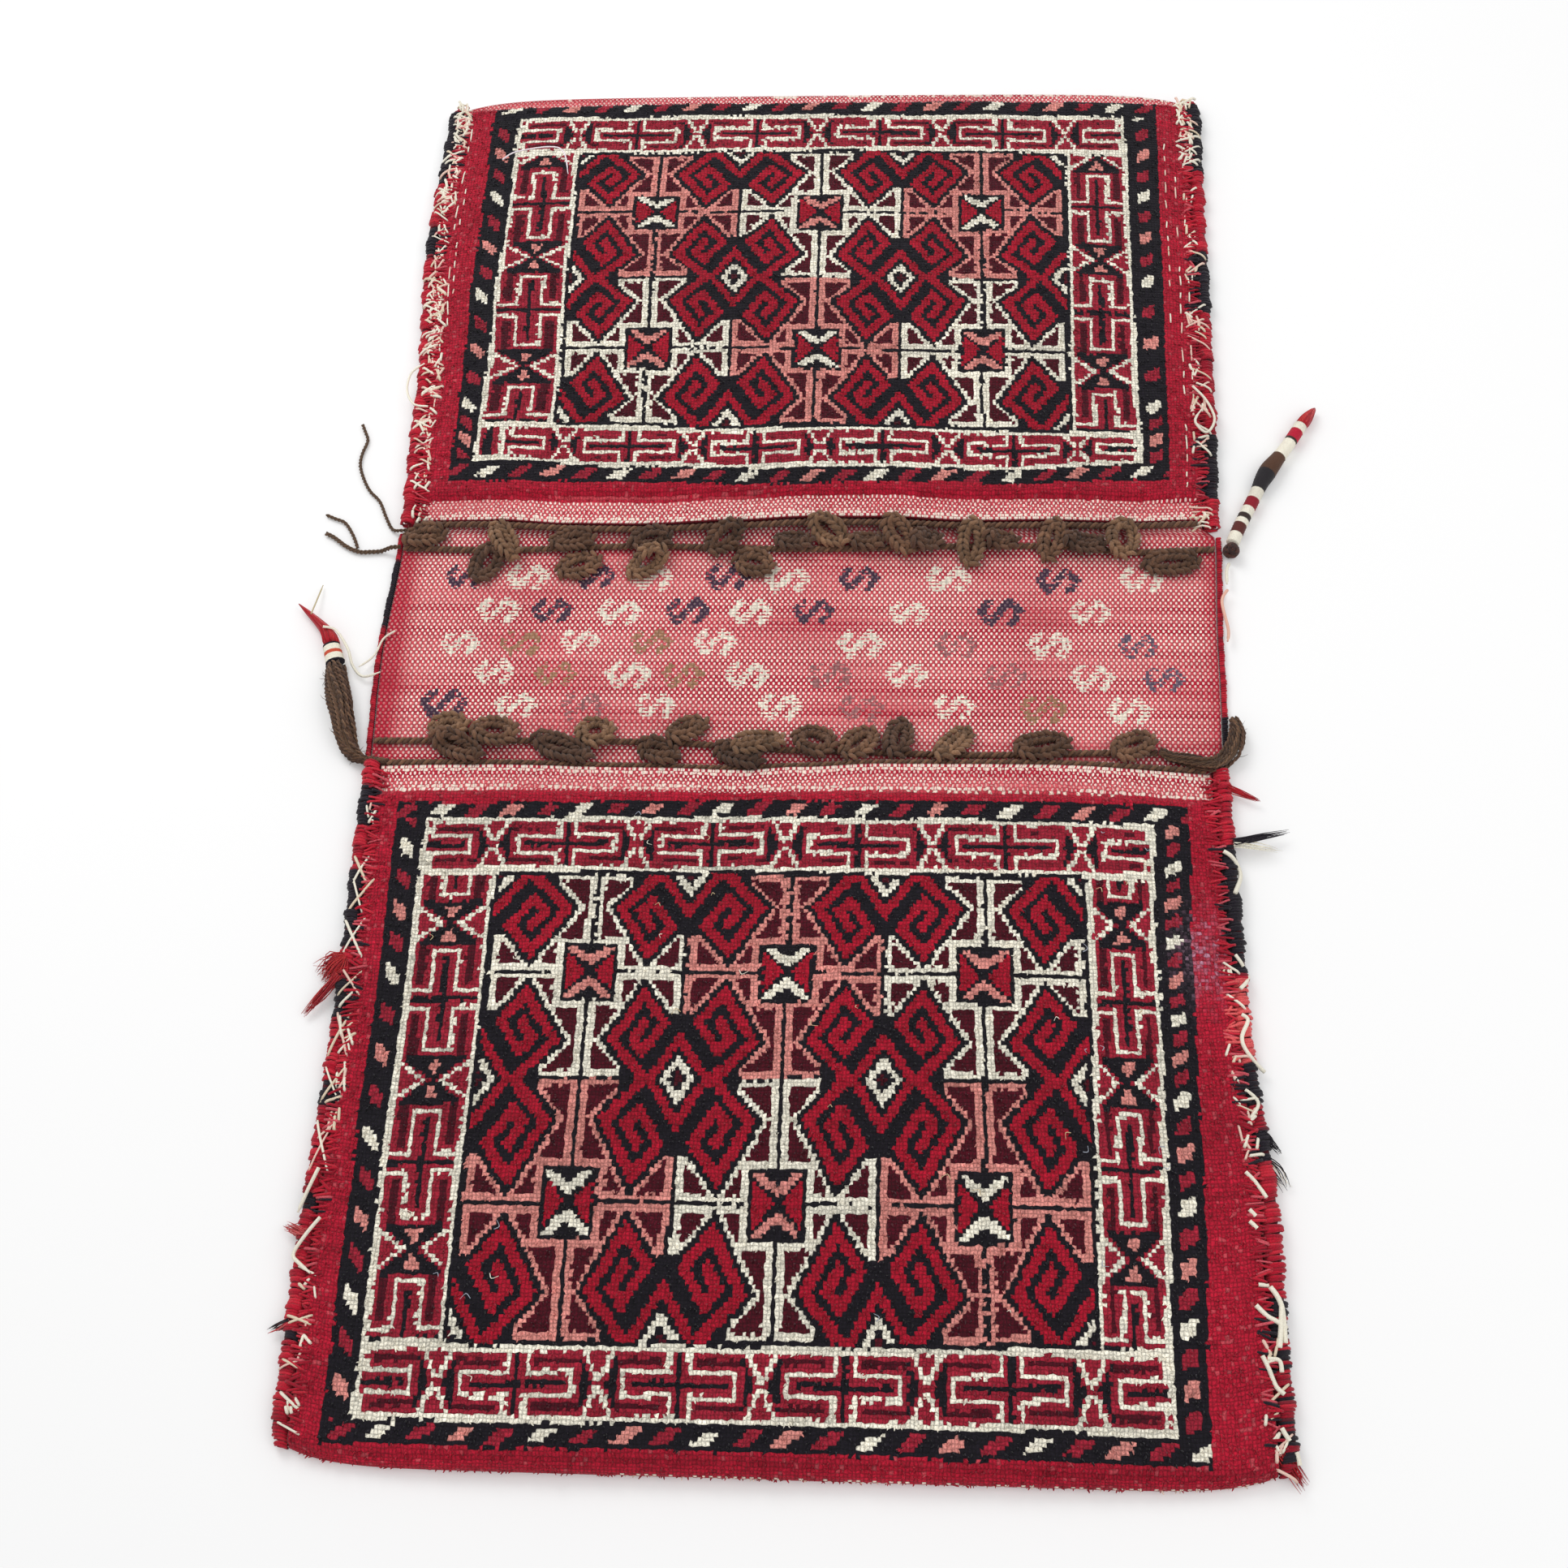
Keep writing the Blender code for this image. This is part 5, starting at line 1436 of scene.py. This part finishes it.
def joining_stitches(pocket, side, word, seed):
    """The overcasting's own short stitches into the cloth, all along where the two meet."""
    dice = random.Random(seed)
    yarns = Yarns()
    key = f"{pocket.name}_{word}"
    near, far = pocket.side * (pocket.mouth + 0.004), pocket.side * (HALF_LENGTH - 0.022)
    y, far = min(near, far), max(near, far)
    while y < far:
        a, b = dice.uniform(0.001, 0.0055), dice.uniform(0.002, 0.0085)
        lean = dice.gauss(0, 0.0012)
        as_wound = dice.random() < 0.35
        dye = turn_dye(key, y, dice) if as_wound else dice.choice((*RED_YARNS, linear(208, 84, 96)))
        laid_stitch(yarns, side, (side * (cloth_edge(side, y) + a), y + lean),
                    (side * (cloth_edge(side, y) - b), y - lean), dice.uniform(0.0006, 0.0010), dye, points=6)
        y += dice.uniform(0.0012, 0.0032)
    dress(yarns.build(f"{key}_joining_stitches", overcast_wool), f"{key}_binding")


for number, pocket in enumerate((UPPER, LOWER)):
    for (side, word, slot), seed in zip(SIDES, (61, 71)):
        joining_stitches(pocket, side, word, seed + number)

FAR_OUT, NEAR_OUT = (0.006, 0.0118), (0.001, 0.008)
lacing = Lacing(-1, 21)
for numbers in (((0.150, 0.500), 0.0180, 0.012, FAR_OUT, (0.001, 0.009), 0.80, 0.35),
                ((0.470, 0.528), 0.0090, 0.009, NEAR_OUT, (0.001, 0.012), 0.85, 0.3),
                ((0.415, 0.440), 0.0060, 0.012, FAR_OUT, (0.000, 0.008), 0.80, 0.4),
                ((0.275, 0.330), 0.0080, 0.012, FAR_OUT, (0.000, 0.008), 0.85, 0.4)):
    lacing.scattered(*numbers)
lacing.clumps(((0.522, 14, 0.010), (0.505, 18, 0.012), (0.490, 9, 0.010), (0.462, 12, 0.010),
               (0.436, 12, 0.012), (0.424, 10, 0.010), (0.395, 9, 0.012), (0.360, 9, 0.013),
               (0.338, 16, 0.012), (0.312, 14, 0.012), (0.290, 16, 0.010), (0.262, 8, 0.012),
               (0.240, 10, 0.012), (0.205, 12, 0.014), (0.178, 8, 0.012), (0.155, 6, 0.010),
               (0.128, 7, 0.008)))
lacing.running(0.009, (0.300, 0.500), 0.012, 0.004)
lacing.running(0.013, (0.330, 0.440), 0.006, 0.005)
lacing.running(0.004, (0.150, 0.330), 0.009, 0.005)
lacing.loose(0.0009, (-0.289, 0.222, 0.012), (-0.300, 0.224, 0.0125), (-0.307, 0.238, 0.011),
             (-0.3055, 0.254, 0.0115), (-0.296, 0.262, 0.013))
lacing.finish("upper_left")

lacing = Lacing(1, 22)
lacing.scattered((0.455, 0.530), 0.0100, 0.012, FAR_OUT, (0.001, 0.010), 0.85, 0.3)
lacing.clumps(((0.524, 12, 0.010), (0.508, 12, 0.012), (0.488, 10, 0.012), (0.470, 8, 0.010),
               (0.430, 4, 0.010), (0.385, 6, 0.012), (0.350, 4, 0.010), (0.300, 6, 0.012),
               (0.262, 6, 0.010), (0.222, 8, 0.012), (0.190, 5, 0.010), (0.126, 12, 0.008)))
for numbers in (((0.290, 0.400), 0.0110, 0.012, FAR_OUT, (0.001, 0.008), 0.75, 0.3),
                ((0.185, 0.290), 0.0130, 0.016, FAR_OUT, (0.001, 0.006), 0.75, 0.4),
                ((0.118, 0.135), 0.0040, 0.007, NEAR_OUT, (0.001, 0.012), 0.9, 0.3)):
    lacing.scattered(*numbers)
for inset, low, high in ((0.0035, 0.200, 0.480), (0.0100, 0.150, 0.470), (0.0180, 0.300, 0.500)):
    lacing.running(inset, (low, high), 0.011, 0.006)
lacing.loose(0.0010, (0.280, 0.237, 0.0165), (0.2895, 0.225, 0.0150), (0.2950, 0.210, 0.0125),
             (0.2880, 0.196, 0.0150), (0.2800, 0.205, 0.0165), (0.2860, 0.217, 0.0160))
lacing.loose(0.0012, (0.2990, 0.090, 0.0030), (0.2965, 0.082, 0.0062), (0.2960, 0.071, 0.0062))
lacing.loose(0.0011, (0.2960, 0.066, 0.0062), (0.2915, 0.056, 0.0066), (0.2945, 0.034, 0.0062),
             (0.2935, 0.024, 0.0060), dye=linear(240, 190, 170))
lacing.finish("upper_right")

lacing = Lacing(-1, 23)
for numbers in (((-0.350, -0.140), 0.0310, 0.036, (0.0070, 0.0118), (0.000, 0.006), 0.95, 0.75),
                ((-0.340, -0.150), 0.0240, 0.018, NEAR_OUT, (0.000, 0.006), 0.60, 0.2),
                ((-0.520, -0.420), 0.0210, 0.010, FAR_OUT, (0.000, 0.008), 0.75, 0.1)):
    lacing.scattered(*numbers)
lacing.clumps(((-0.118, 4, 0.010), (-0.275, 5, 0.014), (-0.305, 6, 0.014), (-0.330, 5, 0.012),
               (-0.440, 3, 0.008), (-0.468, 4, 0.008), (-0.505, 5, 0.007)))
lacing.loose(0.0012, (-0.288, -0.365, 0.015), (-0.293, -0.378, 0.0135), (-0.2985, -0.392, 0.010))
lacing.loose(0.0012, (-0.2825, -0.396, 0.0155), (-0.2905, -0.407, 0.0145), (-0.2970, -0.418, 0.0115),
             (-0.2920, -0.424, 0.0135), (-0.2840, -0.430, 0.0150))
lacing.loose(0.0010, (-0.3415, 0.028, 0.0120), (-0.3325, 0.026, 0.0105), (-0.3225, 0.012, 0.0090),
             (-0.3178, -0.0005, 0.0060), (-0.3100, -0.0080, 0.0040), (-0.2975, -0.0055, 0.0060), points=36)
lacing.loose(0.0008, (-0.2915, 0.0290, 0.0050), (-0.2990, 0.0225, 0.0050), (-0.3030, 0.0120, 0.0040),
             (-0.3072, 0.0055, 0.0040), (-0.3135, -0.0010, 0.0055), points=30)
lacing.loose(0.0006, (-0.3530, 0.0410, 0.0080), (-0.3512, 0.0560, 0.0050), (-0.3498, 0.0690, 0.0020),
             dye=linear(200, 186, 150), points=16)
lacing.finish("lower_left")

lacing = Lacing(1, 24)
for thick, places in LOWER_RIGHT_THREADS:
    lacing.laid(places, thick)
lacing.scattered((-0.340, -0.200), 0.0200, 0.010, FAR_OUT, (0.001, 0.006), 0.60, 0.1)
lacing.scattered((-0.530, -0.480), 0.0140, 0.010, FAR_OUT, (0.001, 0.005), 0.6, 0.0)
lacing.clumps(((-0.222, 3, 0.007), (-0.285, 6, 0.012), (-0.318, 5, 0.012), (-0.334, 6, 0.012),
               (-0.462, 4, 0.012), (-0.505, 4, 0.008), (-0.520, 4, 0.008)))
lacing.finish("lower_right")


def surface_lint(dice):
    """Short stray fibres over the lower face, and one long white hair on the upper."""
    yarns = Yarns()
    loose_thread(yarns, ((-0.255, 0.461, 0.0205), (-0.242, 0.467, 0.0235), (-0.209, 0.4695, 0.024),
                         (-0.2005, 0.445, 0.021)), 0.0006, linear(250, 240, 246))
    for _ in range(LINT_FIBRES):
        x, y, turn = dice.uniform(-0.24, 0.24), dice.uniform(-0.50, -0.12), dice.uniform(0, math.tau)
        reach = dice.uniform(0.0012, 0.0040)
        top = face_top(x, y) + 0.0010
        places = [(x, y, top)]
        for bend, far, lift in ((0.0, 1.0, 0.0006), (0.9, 1.6, 0.0)):
            places.append((x + reach * math.cos(turn + bend) * far, y + reach * math.sin(turn + bend) * far,
                           top + lift))
        loose_thread(yarns, places, 0.00028, dice.choice(LINT_DYES), 7)
    dress(yarns.build("surface_lint", cream_cotton), "woven_bag")


LINT_FIBRES, LINT_DYES = 46, (CREAM, linear(170, 176, 190), linear(214, 190, 150))
surface_lint(lacing.dice)


# Closing cords. One cord of two brown plies runs along each mouth, and one across the bridge beside it.
CORD_RADIUS, CORD_POINTS, CORD_SHARE_OF_GAPE = 0.0022, 22, 0.6
MOUTH_CORD_REACH, BRIDGE_CORD_REACH, LOWER_CORD_END = 0.985, 0.995, 0.845
UPPER_BRIDGE_CORD, LOWER_BRIDGE_CORD = 0.0995, 0.062
UPPER_CORD_WANDER = (
    (-1.0, -0.0005), (-0.8, -0.002), (-0.4, 0.002), (0.0, 0.000), (0.4, 0.003), (0.6, 0.0035),
    (0.8, -0.002), (1.0, 0.001))
LOWER_CORD_WANDER = (
    (-1.0, 0.002), (-0.6, 0.003), (-0.35, 0.003), (0.0, -0.0025), (0.4, -0.005), (0.8, -0.002),
    (1.0, -0.003))


def mouth_cord_path(pocket):
    path = []
    for k in range(CORD_POINTS):
        u = MOUTH_CORD_REACH * (2 * k / (CORD_POINTS - 1) - 1)
        y = mouth_y(pocket, u) - pocket.side * (CORD_RADIUS + CLEARANCE * 2)
        side = -1 if u < 0 else 1
        z = FLAT_WEAVE + CLEARANCE + CORD_RADIUS + CORD_SHARE_OF_GAPE * gape(pocket, u, mouth_y(pocket, u))
        path.append(Vector((u * cloth_edge(side, y), y, z)))
    return path


def bridge_cord_y(pocket, u):
    middle = UPPER_BRIDGE_CORD if pocket.side > 0 else -LOWER_BRIDGE_CORD
    return middle + wander(UPPER_CORD_WANDER if pocket.side > 0 else LOWER_CORD_WANDER, u)


def bridge_cord_path(pocket, right_reach):
    path = []
    for k in range(CORD_POINTS):
        u = -BRIDGE_CORD_REACH + (BRIDGE_CORD_REACH + right_reach) * k / (CORD_POINTS - 1)
        y = bridge_cord_y(pocket, u)
        side = -1 if u < 0 else 1
        path.append(Vector((u * bridge_edge(side, y), y, FLAT_WEAVE + CLEARANCE + CORD_RADIUS)))
    return path


def closing_cord(name, node, path):
    yarns = Yarns()
    yarns.twisted(path, CORD_RADIUS * 1.22, [LOOP_BROWNS[0], LOOP_BROWNS[3]], pitch=0.0085)
    dress(yarns.build(name, brown_wool), node)


# Closing loops. Each is a chain braid of brown wool, made as one ring round its cord. They lie on the
# cords, on the cloth and on each other.
BRAID_HALF_WIDTH, BRAID_HALF_HEIGHT, LOOP_POINTS, STACK_GAP = 0.0036, 0.0027, 12, 0.0003
UPPER_LOOPS = (
    (-0.930, "mouth", 0.0105, 0.032, 0.017, 10), (-0.770, "bridge", 0.0120, 0.033, 0.020, 60),
    (-0.730, "mouth", 0.0150, 0.036, 0.016, -62), (-0.567, "mouth", 0.0105, 0.034, 0.016, 8),
    (-0.547, "bridge", 0.0160, 0.034, 0.019, 20), (-0.377, "mouth", 0.0095, 0.032, 0.016, 12),
    (-0.383, "bridge", 0.0160, 0.033, 0.017, 35), (-0.200, "mouth", 0.0110, 0.033, 0.018, 42),
    (-0.127, "bridge", 0.0130, 0.030, 0.020, -12), (-0.033, "bridge", -0.0050, 0.029, 0.016, -3),
    (0.050, "mouth", 0.0085, 0.033, 0.018, -35), (0.143, "bridge", -0.0040, 0.027, 0.015, 3),
    (0.220, "mouth", 0.0120, 0.034, 0.018, -55), (0.285, "bridge", -0.0020, 0.024, 0.017, 20),
    (0.390, "mouth", 0.0150, 0.036, 0.018, 85), (0.462, "bridge", -0.0020, 0.026, 0.015, 0),
    (0.580, "mouth", 0.0140, 0.033, 0.017, 75), (0.660, "bridge", -0.0010, 0.032, 0.016, -3),
    (0.747, "mouth", 0.0130, 0.031, 0.022, 90), (0.860, "bridge", 0.0100, 0.042, 0.017, 5))
LOWER_LOOPS = (
    (-0.813, "bridge", 0.0110, 0.028, 0.019, 10), (-0.783, "mouth", 0.0110, 0.040, 0.017, -25),
    (-0.703, "bridge", 0.0060, 0.034, 0.022, -10), (-0.543, "mouth", 0.0125, 0.046, 0.017, -22),
    (-0.470, "bridge", 0.0060, 0.027, 0.023, 0), (-0.320, "mouth", 0.0115, 0.031, 0.018, -25),
    (-0.260, "bridge", 0.0100, 0.032, 0.017, 30), (-0.137, "mouth", 0.0100, 0.037, 0.017, -25),
    (-0.095, "bridge", 0.0010, 0.038, 0.017, 20), (0.033, "bridge", 0.0060, 0.031, 0.023, -20),
    (0.133, "mouth", 0.0160, 0.033, 0.020, 50), (0.223, "bridge", 0.0100, 0.033, 0.018, 80),
    (0.347, "mouth", 0.0150, 0.036, 0.016, 50), (0.547, "bridge", 0.0050, 0.040, 0.021, 12),
    (0.750, "bridge", 0.0040, 0.033, 0.020, 25))


class Pile:
    """What already lies on the bag, so that each new strand rests on top of it."""

    def __init__(self):
        self.strands = []

    def add(self, path, half_width, half_height, closed=False):
        joined = [*path, path[0]] if closed else path
        self.strands.append((joined, half_width, half_height))

    def height(self, x, y, half_width, half_height):
        here = face_top(x, y)
        for dx, dy in ((1, 0), (-1, 0), (0, 1), (0, -1)):
            here = max(here, face_top(x + dx * half_width, y + dy * half_width))
        level = here + CLEARANCE + half_height
        for path, wide, high in self.strands:
            reach = wide + half_width + STACK_GAP
            for a, b in zip(path, path[1:]):
                run = Vector((b.x - a.x, b.y - a.y))
                off = Vector((x - a.x, y - a.y))
                t = min(max(off.dot(run) / max(run.length_squared, 1e-12), 0.0), 1.0)
                apart = (off - run * t).length
                if apart < reach:
                    rise = (high + half_height + STACK_GAP) * math.sqrt(1 - (apart / reach) ** 2)
                    level = max(level, a.z + (b.z - a.z) * t + rise)
        return level


def laid_loop(pile, pocket, share, cord, drop, length, width, turn):
    """A loop's centreline, laid on the cords, the cloth and the loops under it."""
    if cord == "mouth":
        anchor = mouth_y(pocket, share) - pocket.side * (CORD_RADIUS + CLEARANCE * 2)
    else:
        anchor = bridge_cord_y(pocket, share)
    middle = Vector((share * HALF_WIDTH, anchor - pocket.side * drop))
    turn = math.radians(turn)
    flat = []
    for k in range(LOOP_POINTS * 2):
        angle = math.pi * k / LOOP_POINTS
        a = (length / 2 - BRAID_HALF_WIDTH) * math.cos(angle)
        b = (width / 2 - BRAID_HALF_WIDTH * 0.8) * math.sin(angle)
        flat.append((middle.x + a * math.cos(turn) - b * math.sin(turn),
                     middle.y + a * math.sin(turn) + b * math.cos(turn)))
    levels = [pile.height(x, y, BRAID_HALF_WIDTH, BRAID_HALF_HEIGHT) for x, y in flat]
    count = len(levels)
    for _ in range(3):
        levels = [max(z, 0.5 * (levels[i - 1] + levels[(i + 1) % count])) for i, z in enumerate(levels)]
    high = [max(levels[i - 1], levels[i], levels[(i + 1) % count]) for i in range(0, count, 2)]
    return [Vector((*flat[2 * i], high[i])) for i in range(LOOP_POINTS)]


def braid_stitch():
    """One stitch of the chain braid: two plump legs that open forwards over a strand, and its fuzz."""
    yarns = Yarns()
    for hand in (-1, 1):
        path = [Vector((-0.0031, hand * 0.0004, -0.0002)), Vector((-0.0014, hand * 0.0010, 0.0013)),
                Vector((0.0006, hand * 0.0022, 0.0012)), Vector((0.0026, hand * 0.0031, -0.0008))]
        yarns.tube(path, [0.0006, 0.00135, 0.00145, 0.0007], BROWN, 6)
    yarns.tube([Vector((-0.0024, 0, -0.0012)), Vector((0, 0, -0.0015)), Vector((0.0024, 0, -0.0012))],
               [0.0012, 0.0016, 0.0012], BROWN, 6)
    for root, (x, y, z) in (((-0.001, 0.002, 0.002), (0.0012, 0.0026, 0.0012)),
                            ((0.001, -0.0024, 0.0018), (-0.001, -0.0024, 0.0014)),
                            ((0.0, 0.0008, 0.0026), (0.0020, 0.0006, 0.0016))):
        root = Vector(root)
        yarns.tube([root, root + Vector((x, y, z)) * 0.55, root + Vector((x * 1.1, y, z * 0.3))],
                   [0.00020, 0.00016, 0.00006], BROWN, 3)
    return hidden_part(yarns, "braid_stitch", brown_wool)


stitch = braid_stitch()
STITCH_SIZE, STITCH_SPACING = 1.36, 0.0050
LOOP_BROWNS = (linear(124, 90, 68), linear(104, 74, 56), linear(134, 101, 76), linear(96, 69, 54))


def closures(pocket, loops, right_reach):
    pile = Pile()
    for name, path in (("mouth_cord", mouth_cord_path(pocket)),
                       ("bridge_cord", bridge_cord_path(pocket, right_reach))):
        closing_cord(f"{pocket.name}_{name}_yarn", f"{pocket.name}_{name}", path)
        pile.add(path, CORD_RADIUS, CORD_RADIUS)
    for number, loop in enumerate(loops, 1):
        path = laid_loop(pile, pocket, *loop)
        pile.add(path, BRAID_HALF_WIDTH, BRAID_HALF_HEIGHT, closed=True)
        closed = smooth_route([tuple(p) for p in (*path, path[0])], 49)[:-1]
        dice = random.Random(number * 7 + pocket.side)
        base = LOOP_BROWNS[(number * 7 + pocket.side) % 4]
        dyes = [tuple(c * tone for c in base) for tone in (dice.uniform(0.55, 1.30) for _ in closed)]
        piece = set_along(f"{pocket.name}_braided_loop_{number}", stitch, closed, [STITCH_SIZE] * len(closed),
                          dyes, STITCH_SPACING, brown_wool, number, turn_jitter=0.22, size_jitter=0.10,
                          closed=True)
        dress(piece, f"{pocket.name}_loop_{number}")
    return pile


closures(UPPER, UPPER_LOOPS, BRIDGE_CORD_REACH)
lower_pile = closures(LOWER, LOWER_LOOPS, LOWER_CORD_END)


# Loose bundles. A thick hank of loops' wool lies at each end of the lower cords, the left one ending in a
# cream-wound tassel with a red tip, and a dark knot holds the wound cord at the upper right.
HANK = (
    (-0.0167, -0.0768, 0.0034), (-0.0080, -0.0756, 0.0034), (0.0010, -0.0752, 0.0030),
    (0.0110, -0.0680, 0.0001), (0.0165, -0.0520, 0.0001), (0.0215, -0.0340, 0.0001),
    (0.0262, -0.0170, 0.0001), (0.0300, 0.0000, 0.0001))
HANK_RADII = (0.0022, 0.0022, 0.0028, 0.0065, 0.0092, 0.0105, 0.0095, 0.0070)
TASSEL_WRAP = ((0.0303, 0.0012, 0.0001), (0.0352, 0.0155, 0.0001))
TASSEL_TIP = ((0.0355, 0.0166, 0.0001), (0.0412, 0.0290, 0.0001), (0.0640, 0.0510, 0.0001))
RIGHT_HANK = (
    (-0.0576, -0.0646), (-0.0400, -0.0710), (-0.0230, -0.0745), (-0.0100, -0.0640), (-0.0050, -0.0480),
    (-0.0065, -0.0370))
RIGHT_HANK_RADII = (0.0026, 0.0050, 0.0062, 0.0065, 0.0055, 0.0030)
RIGHT_KNOT, RIGHT_KNOT_RADIUS = (0.0008, 0.0990), 0.0062


def bundle(name, node, path, radii, strands, flat, seed):
    """A loose hank: many two-ply strands that wander about its middle."""
    dice = random.Random(seed)
    yarns = Yarns()
    yarns.tube(path, [r * 0.62 for r in radii], BROWN, 8, flat=flat)
    for _ in range(strands):
        turn, twist, depth = dice.uniform(0, math.tau), dice.uniform(1.2, 3.6), dice.uniform(0.58, 0.92)
        route = []
        for k, (point, r) in enumerate(zip(path, radii)):
            before, after = path[max(k - 1, 0)], path[min(k + 1, len(path) - 1)]
            along = (after - before).normalized()
            across = along.cross(Vector((0, 0, 1))).normalized()
            up = across.cross(along)
            angle = turn + twist * k / len(path) + 0.25 * math.sin(k * 1.3 + turn)
            route.append(point + (across * math.cos(angle) + up * math.sin(angle) * flat) * r * depth)
        tone = dice.uniform(0.45, 0.95)
        dyes = [tuple(c * tone for c in dice.choice(LOOP_BROWNS)) for _ in range(2)]
        yarns.twisted(route, 0.0014, dyes, pitch=0.008, per_turn=5, sides=4)
        for k in range(2, len(route) - 1, 2):
            out = Vector((dice.gauss(0, 1), dice.gauss(0, 1), abs(dice.gauss(0, 0.8)))) * 0.0020
            yarns.tube([route[k], route[k] + out, route[k] + out * 1.6 + Vector((0.001, 0.0015, -0.0008))],
                       [0.00022, 0.00018, 0.00006], dyes[0], 3)
    dress(yarns.build(name, brown_wool), node)


def bundle_path(route, radii, points, flat, pile=None):
    """A bundle's centreline and radii, lying on the floor or on the bag."""
    path = smooth_route(route, points)
    spots = [(k / (len(radii) - 1), r) for k, r in enumerate(radii)]
    thick = [wander(spots, k / (points - 1)) for k in range(points)]
    if pile:
        placed = [Vector((p.x, p.y, pile.height(p.x, p.y, r, r * flat))) for p, r in zip(path, thick)]
    else:
        placed = [Vector((p.x, p.y, p.z + r * flat)) for p, r in zip(path, thick)]
    return placed, thick


left_path, left_radii = bundle_path(beside(-1, HANK), HANK_RADII, 12, 0.85)
bundle("lower_left_wool_hank", "lower_left_hank", left_path, left_radii, 22, 0.85, 31)
right_path, right_radii = bundle_path([(*p, 0.0) for p in beside(1, RIGHT_HANK)], RIGHT_HANK_RADII, 11, 0.7,
                                      lower_pile)
bundle("lower_right_wool_hank", "lower_right_hank", right_path, right_radii, 14, 0.7, 32)


def tassel_wrap():
    """The cream thread wound round the hank's end, with an orange-red band and a black ring."""
    yarns = Yarns()
    path = raised(smooth_route(beside(-1, TASSEL_WRAP), 14), 0.0062)
    core, radii, dyes = [], [], []
    for k, point in enumerate(path):
        share = k / (len(path) - 1)
        dye = linear(206, 84, 60) if 0.44 < share < 0.60 else CREAM if 0.14 < share < 0.90 else NAVY_YARN
        for part, full in ((0.0, 0.93), (0.5, 1.0)):
            nearer = path[min(k + 1, len(path) - 1)]
            past = point + (point - path[k - 1]) * part
            core.append(point.lerp(nearer, part) if k < len(path) - 1 else past)
            radii.append((0.0070 - 0.0008 * share) * full)
            dyes.append(dye)
    yarns.tube(core, radii, dyes, 12, flat=0.86)
    dress(yarns.build("tassel_winding", cream_cotton), "lower_left_wrap")


tassel_wrap()
red_tip("lower_left_red_tip", "lower_left_tip", beside(-1, TASSEL_TIP), 0.0054, 9)


def dark_knot():
    """The wool knot at the end of the upper cord: one strand wound over itself."""
    yarns = Yarns()
    centre = Vector((*beside(1, [RIGHT_KNOT])[0], RIGHT_KNOT_RADIUS))
    path = []
    for k in range(110):
        turn = k / 110 * math.tau
        a, b = 7 * turn, 3 * turn
        r = RIGHT_KNOT_RADIUS * (0.72 + 0.06 * math.sin(5 * turn))
        path.append(centre + Vector((math.cos(a) * math.cos(b), math.sin(a) * math.cos(b), math.sin(b))) * r)
    dyes = [linear(82, 52, 44), linear(60, 40, 38), linear(96, 44, 44), linear(50, 40, 42)]
    yarns.tube(path, 0.0015, [dyes[k // 9 % 4] for k in range(110)], 6, closed=True)
    dress(yarns.build("knotted_wool", brown_wool), "upper_right_knot")


dark_knot()


# The floor, the light and the background: a plain pale surface under soft, even studio light.
FLOOR_LIFT, FLOOR_HALF_SIZE, FLOOR_LEVEL = 0.12, 8.0, -0.0004


def pale_floor():
    mesh = bpy.data.meshes.new("floor")
    corners = [(a * FLOOR_HALF_SIZE, b * FLOOR_HALF_SIZE) for a, b in ((-1, -1), (1, -1), (1, 1), (-1, 1))]
    mesh.from_pydata([(*corner, FLOOR_LEVEL) for corner in corners], [], [(0, 1, 2, 3)])
    made = bpy.data.materials.new("pale_floor")
    made.use_nodes = True
    graph = Graph(made.node_tree)
    rays = graph.add("ShaderNodeLightPath").outputs
    seen = graph.math("MAXIMUM", graph.math("MAXIMUM", rays["Is Camera Ray"], rays["Is Glossy Ray"]),
                      rays["Is Transmission Ray"])
    lift = graph.math("MULTIPLY", seen, FLOOR_LIFT)
    graph.shader({"Base Color": (0.90, 0.90, 0.90, 1), "Roughness": 0.9, "Specular IOR Level": 0.1,
                  "Emission Color": (1, 1, 1, 1), "Emission Strength": lift})
    mesh.materials.append(made)
    in_scene("floor", mesh)


pale_floor()


def soft_light(name, place, size, power):
    """A square light that points at the bag's middle."""
    made = in_scene(name, bpy.data.lights.new(name, "AREA"))
    made.data.shape, made.data.size, made.data.energy = "SQUARE", size, power
    made.location = place
    made.rotation_euler = (-Vector(place)).to_track_quat("-Z", "Y").to_euler()


soft_light("key_light", (-1.1, 1.3, 1.9), 1.3, 22)
soft_light("fill_light", (1.4, -0.6, 2.0), 1.8, 12)

world = bpy.data.worlds.new("studio")
world.use_nodes = True
bpy.context.scene.world = world
background = world.node_tree.nodes["Background"]
background.inputs["Color"].default_value = (1, 1, 1, 1)
background.inputs["Strength"].default_value = 0.62
bpy.context.scene.view_settings.view_transform = "Standard"

for part in (stitch, wide_turn, thin_turn, pile_tip):
    bpy.data.objects.remove(part, do_unlink=True)
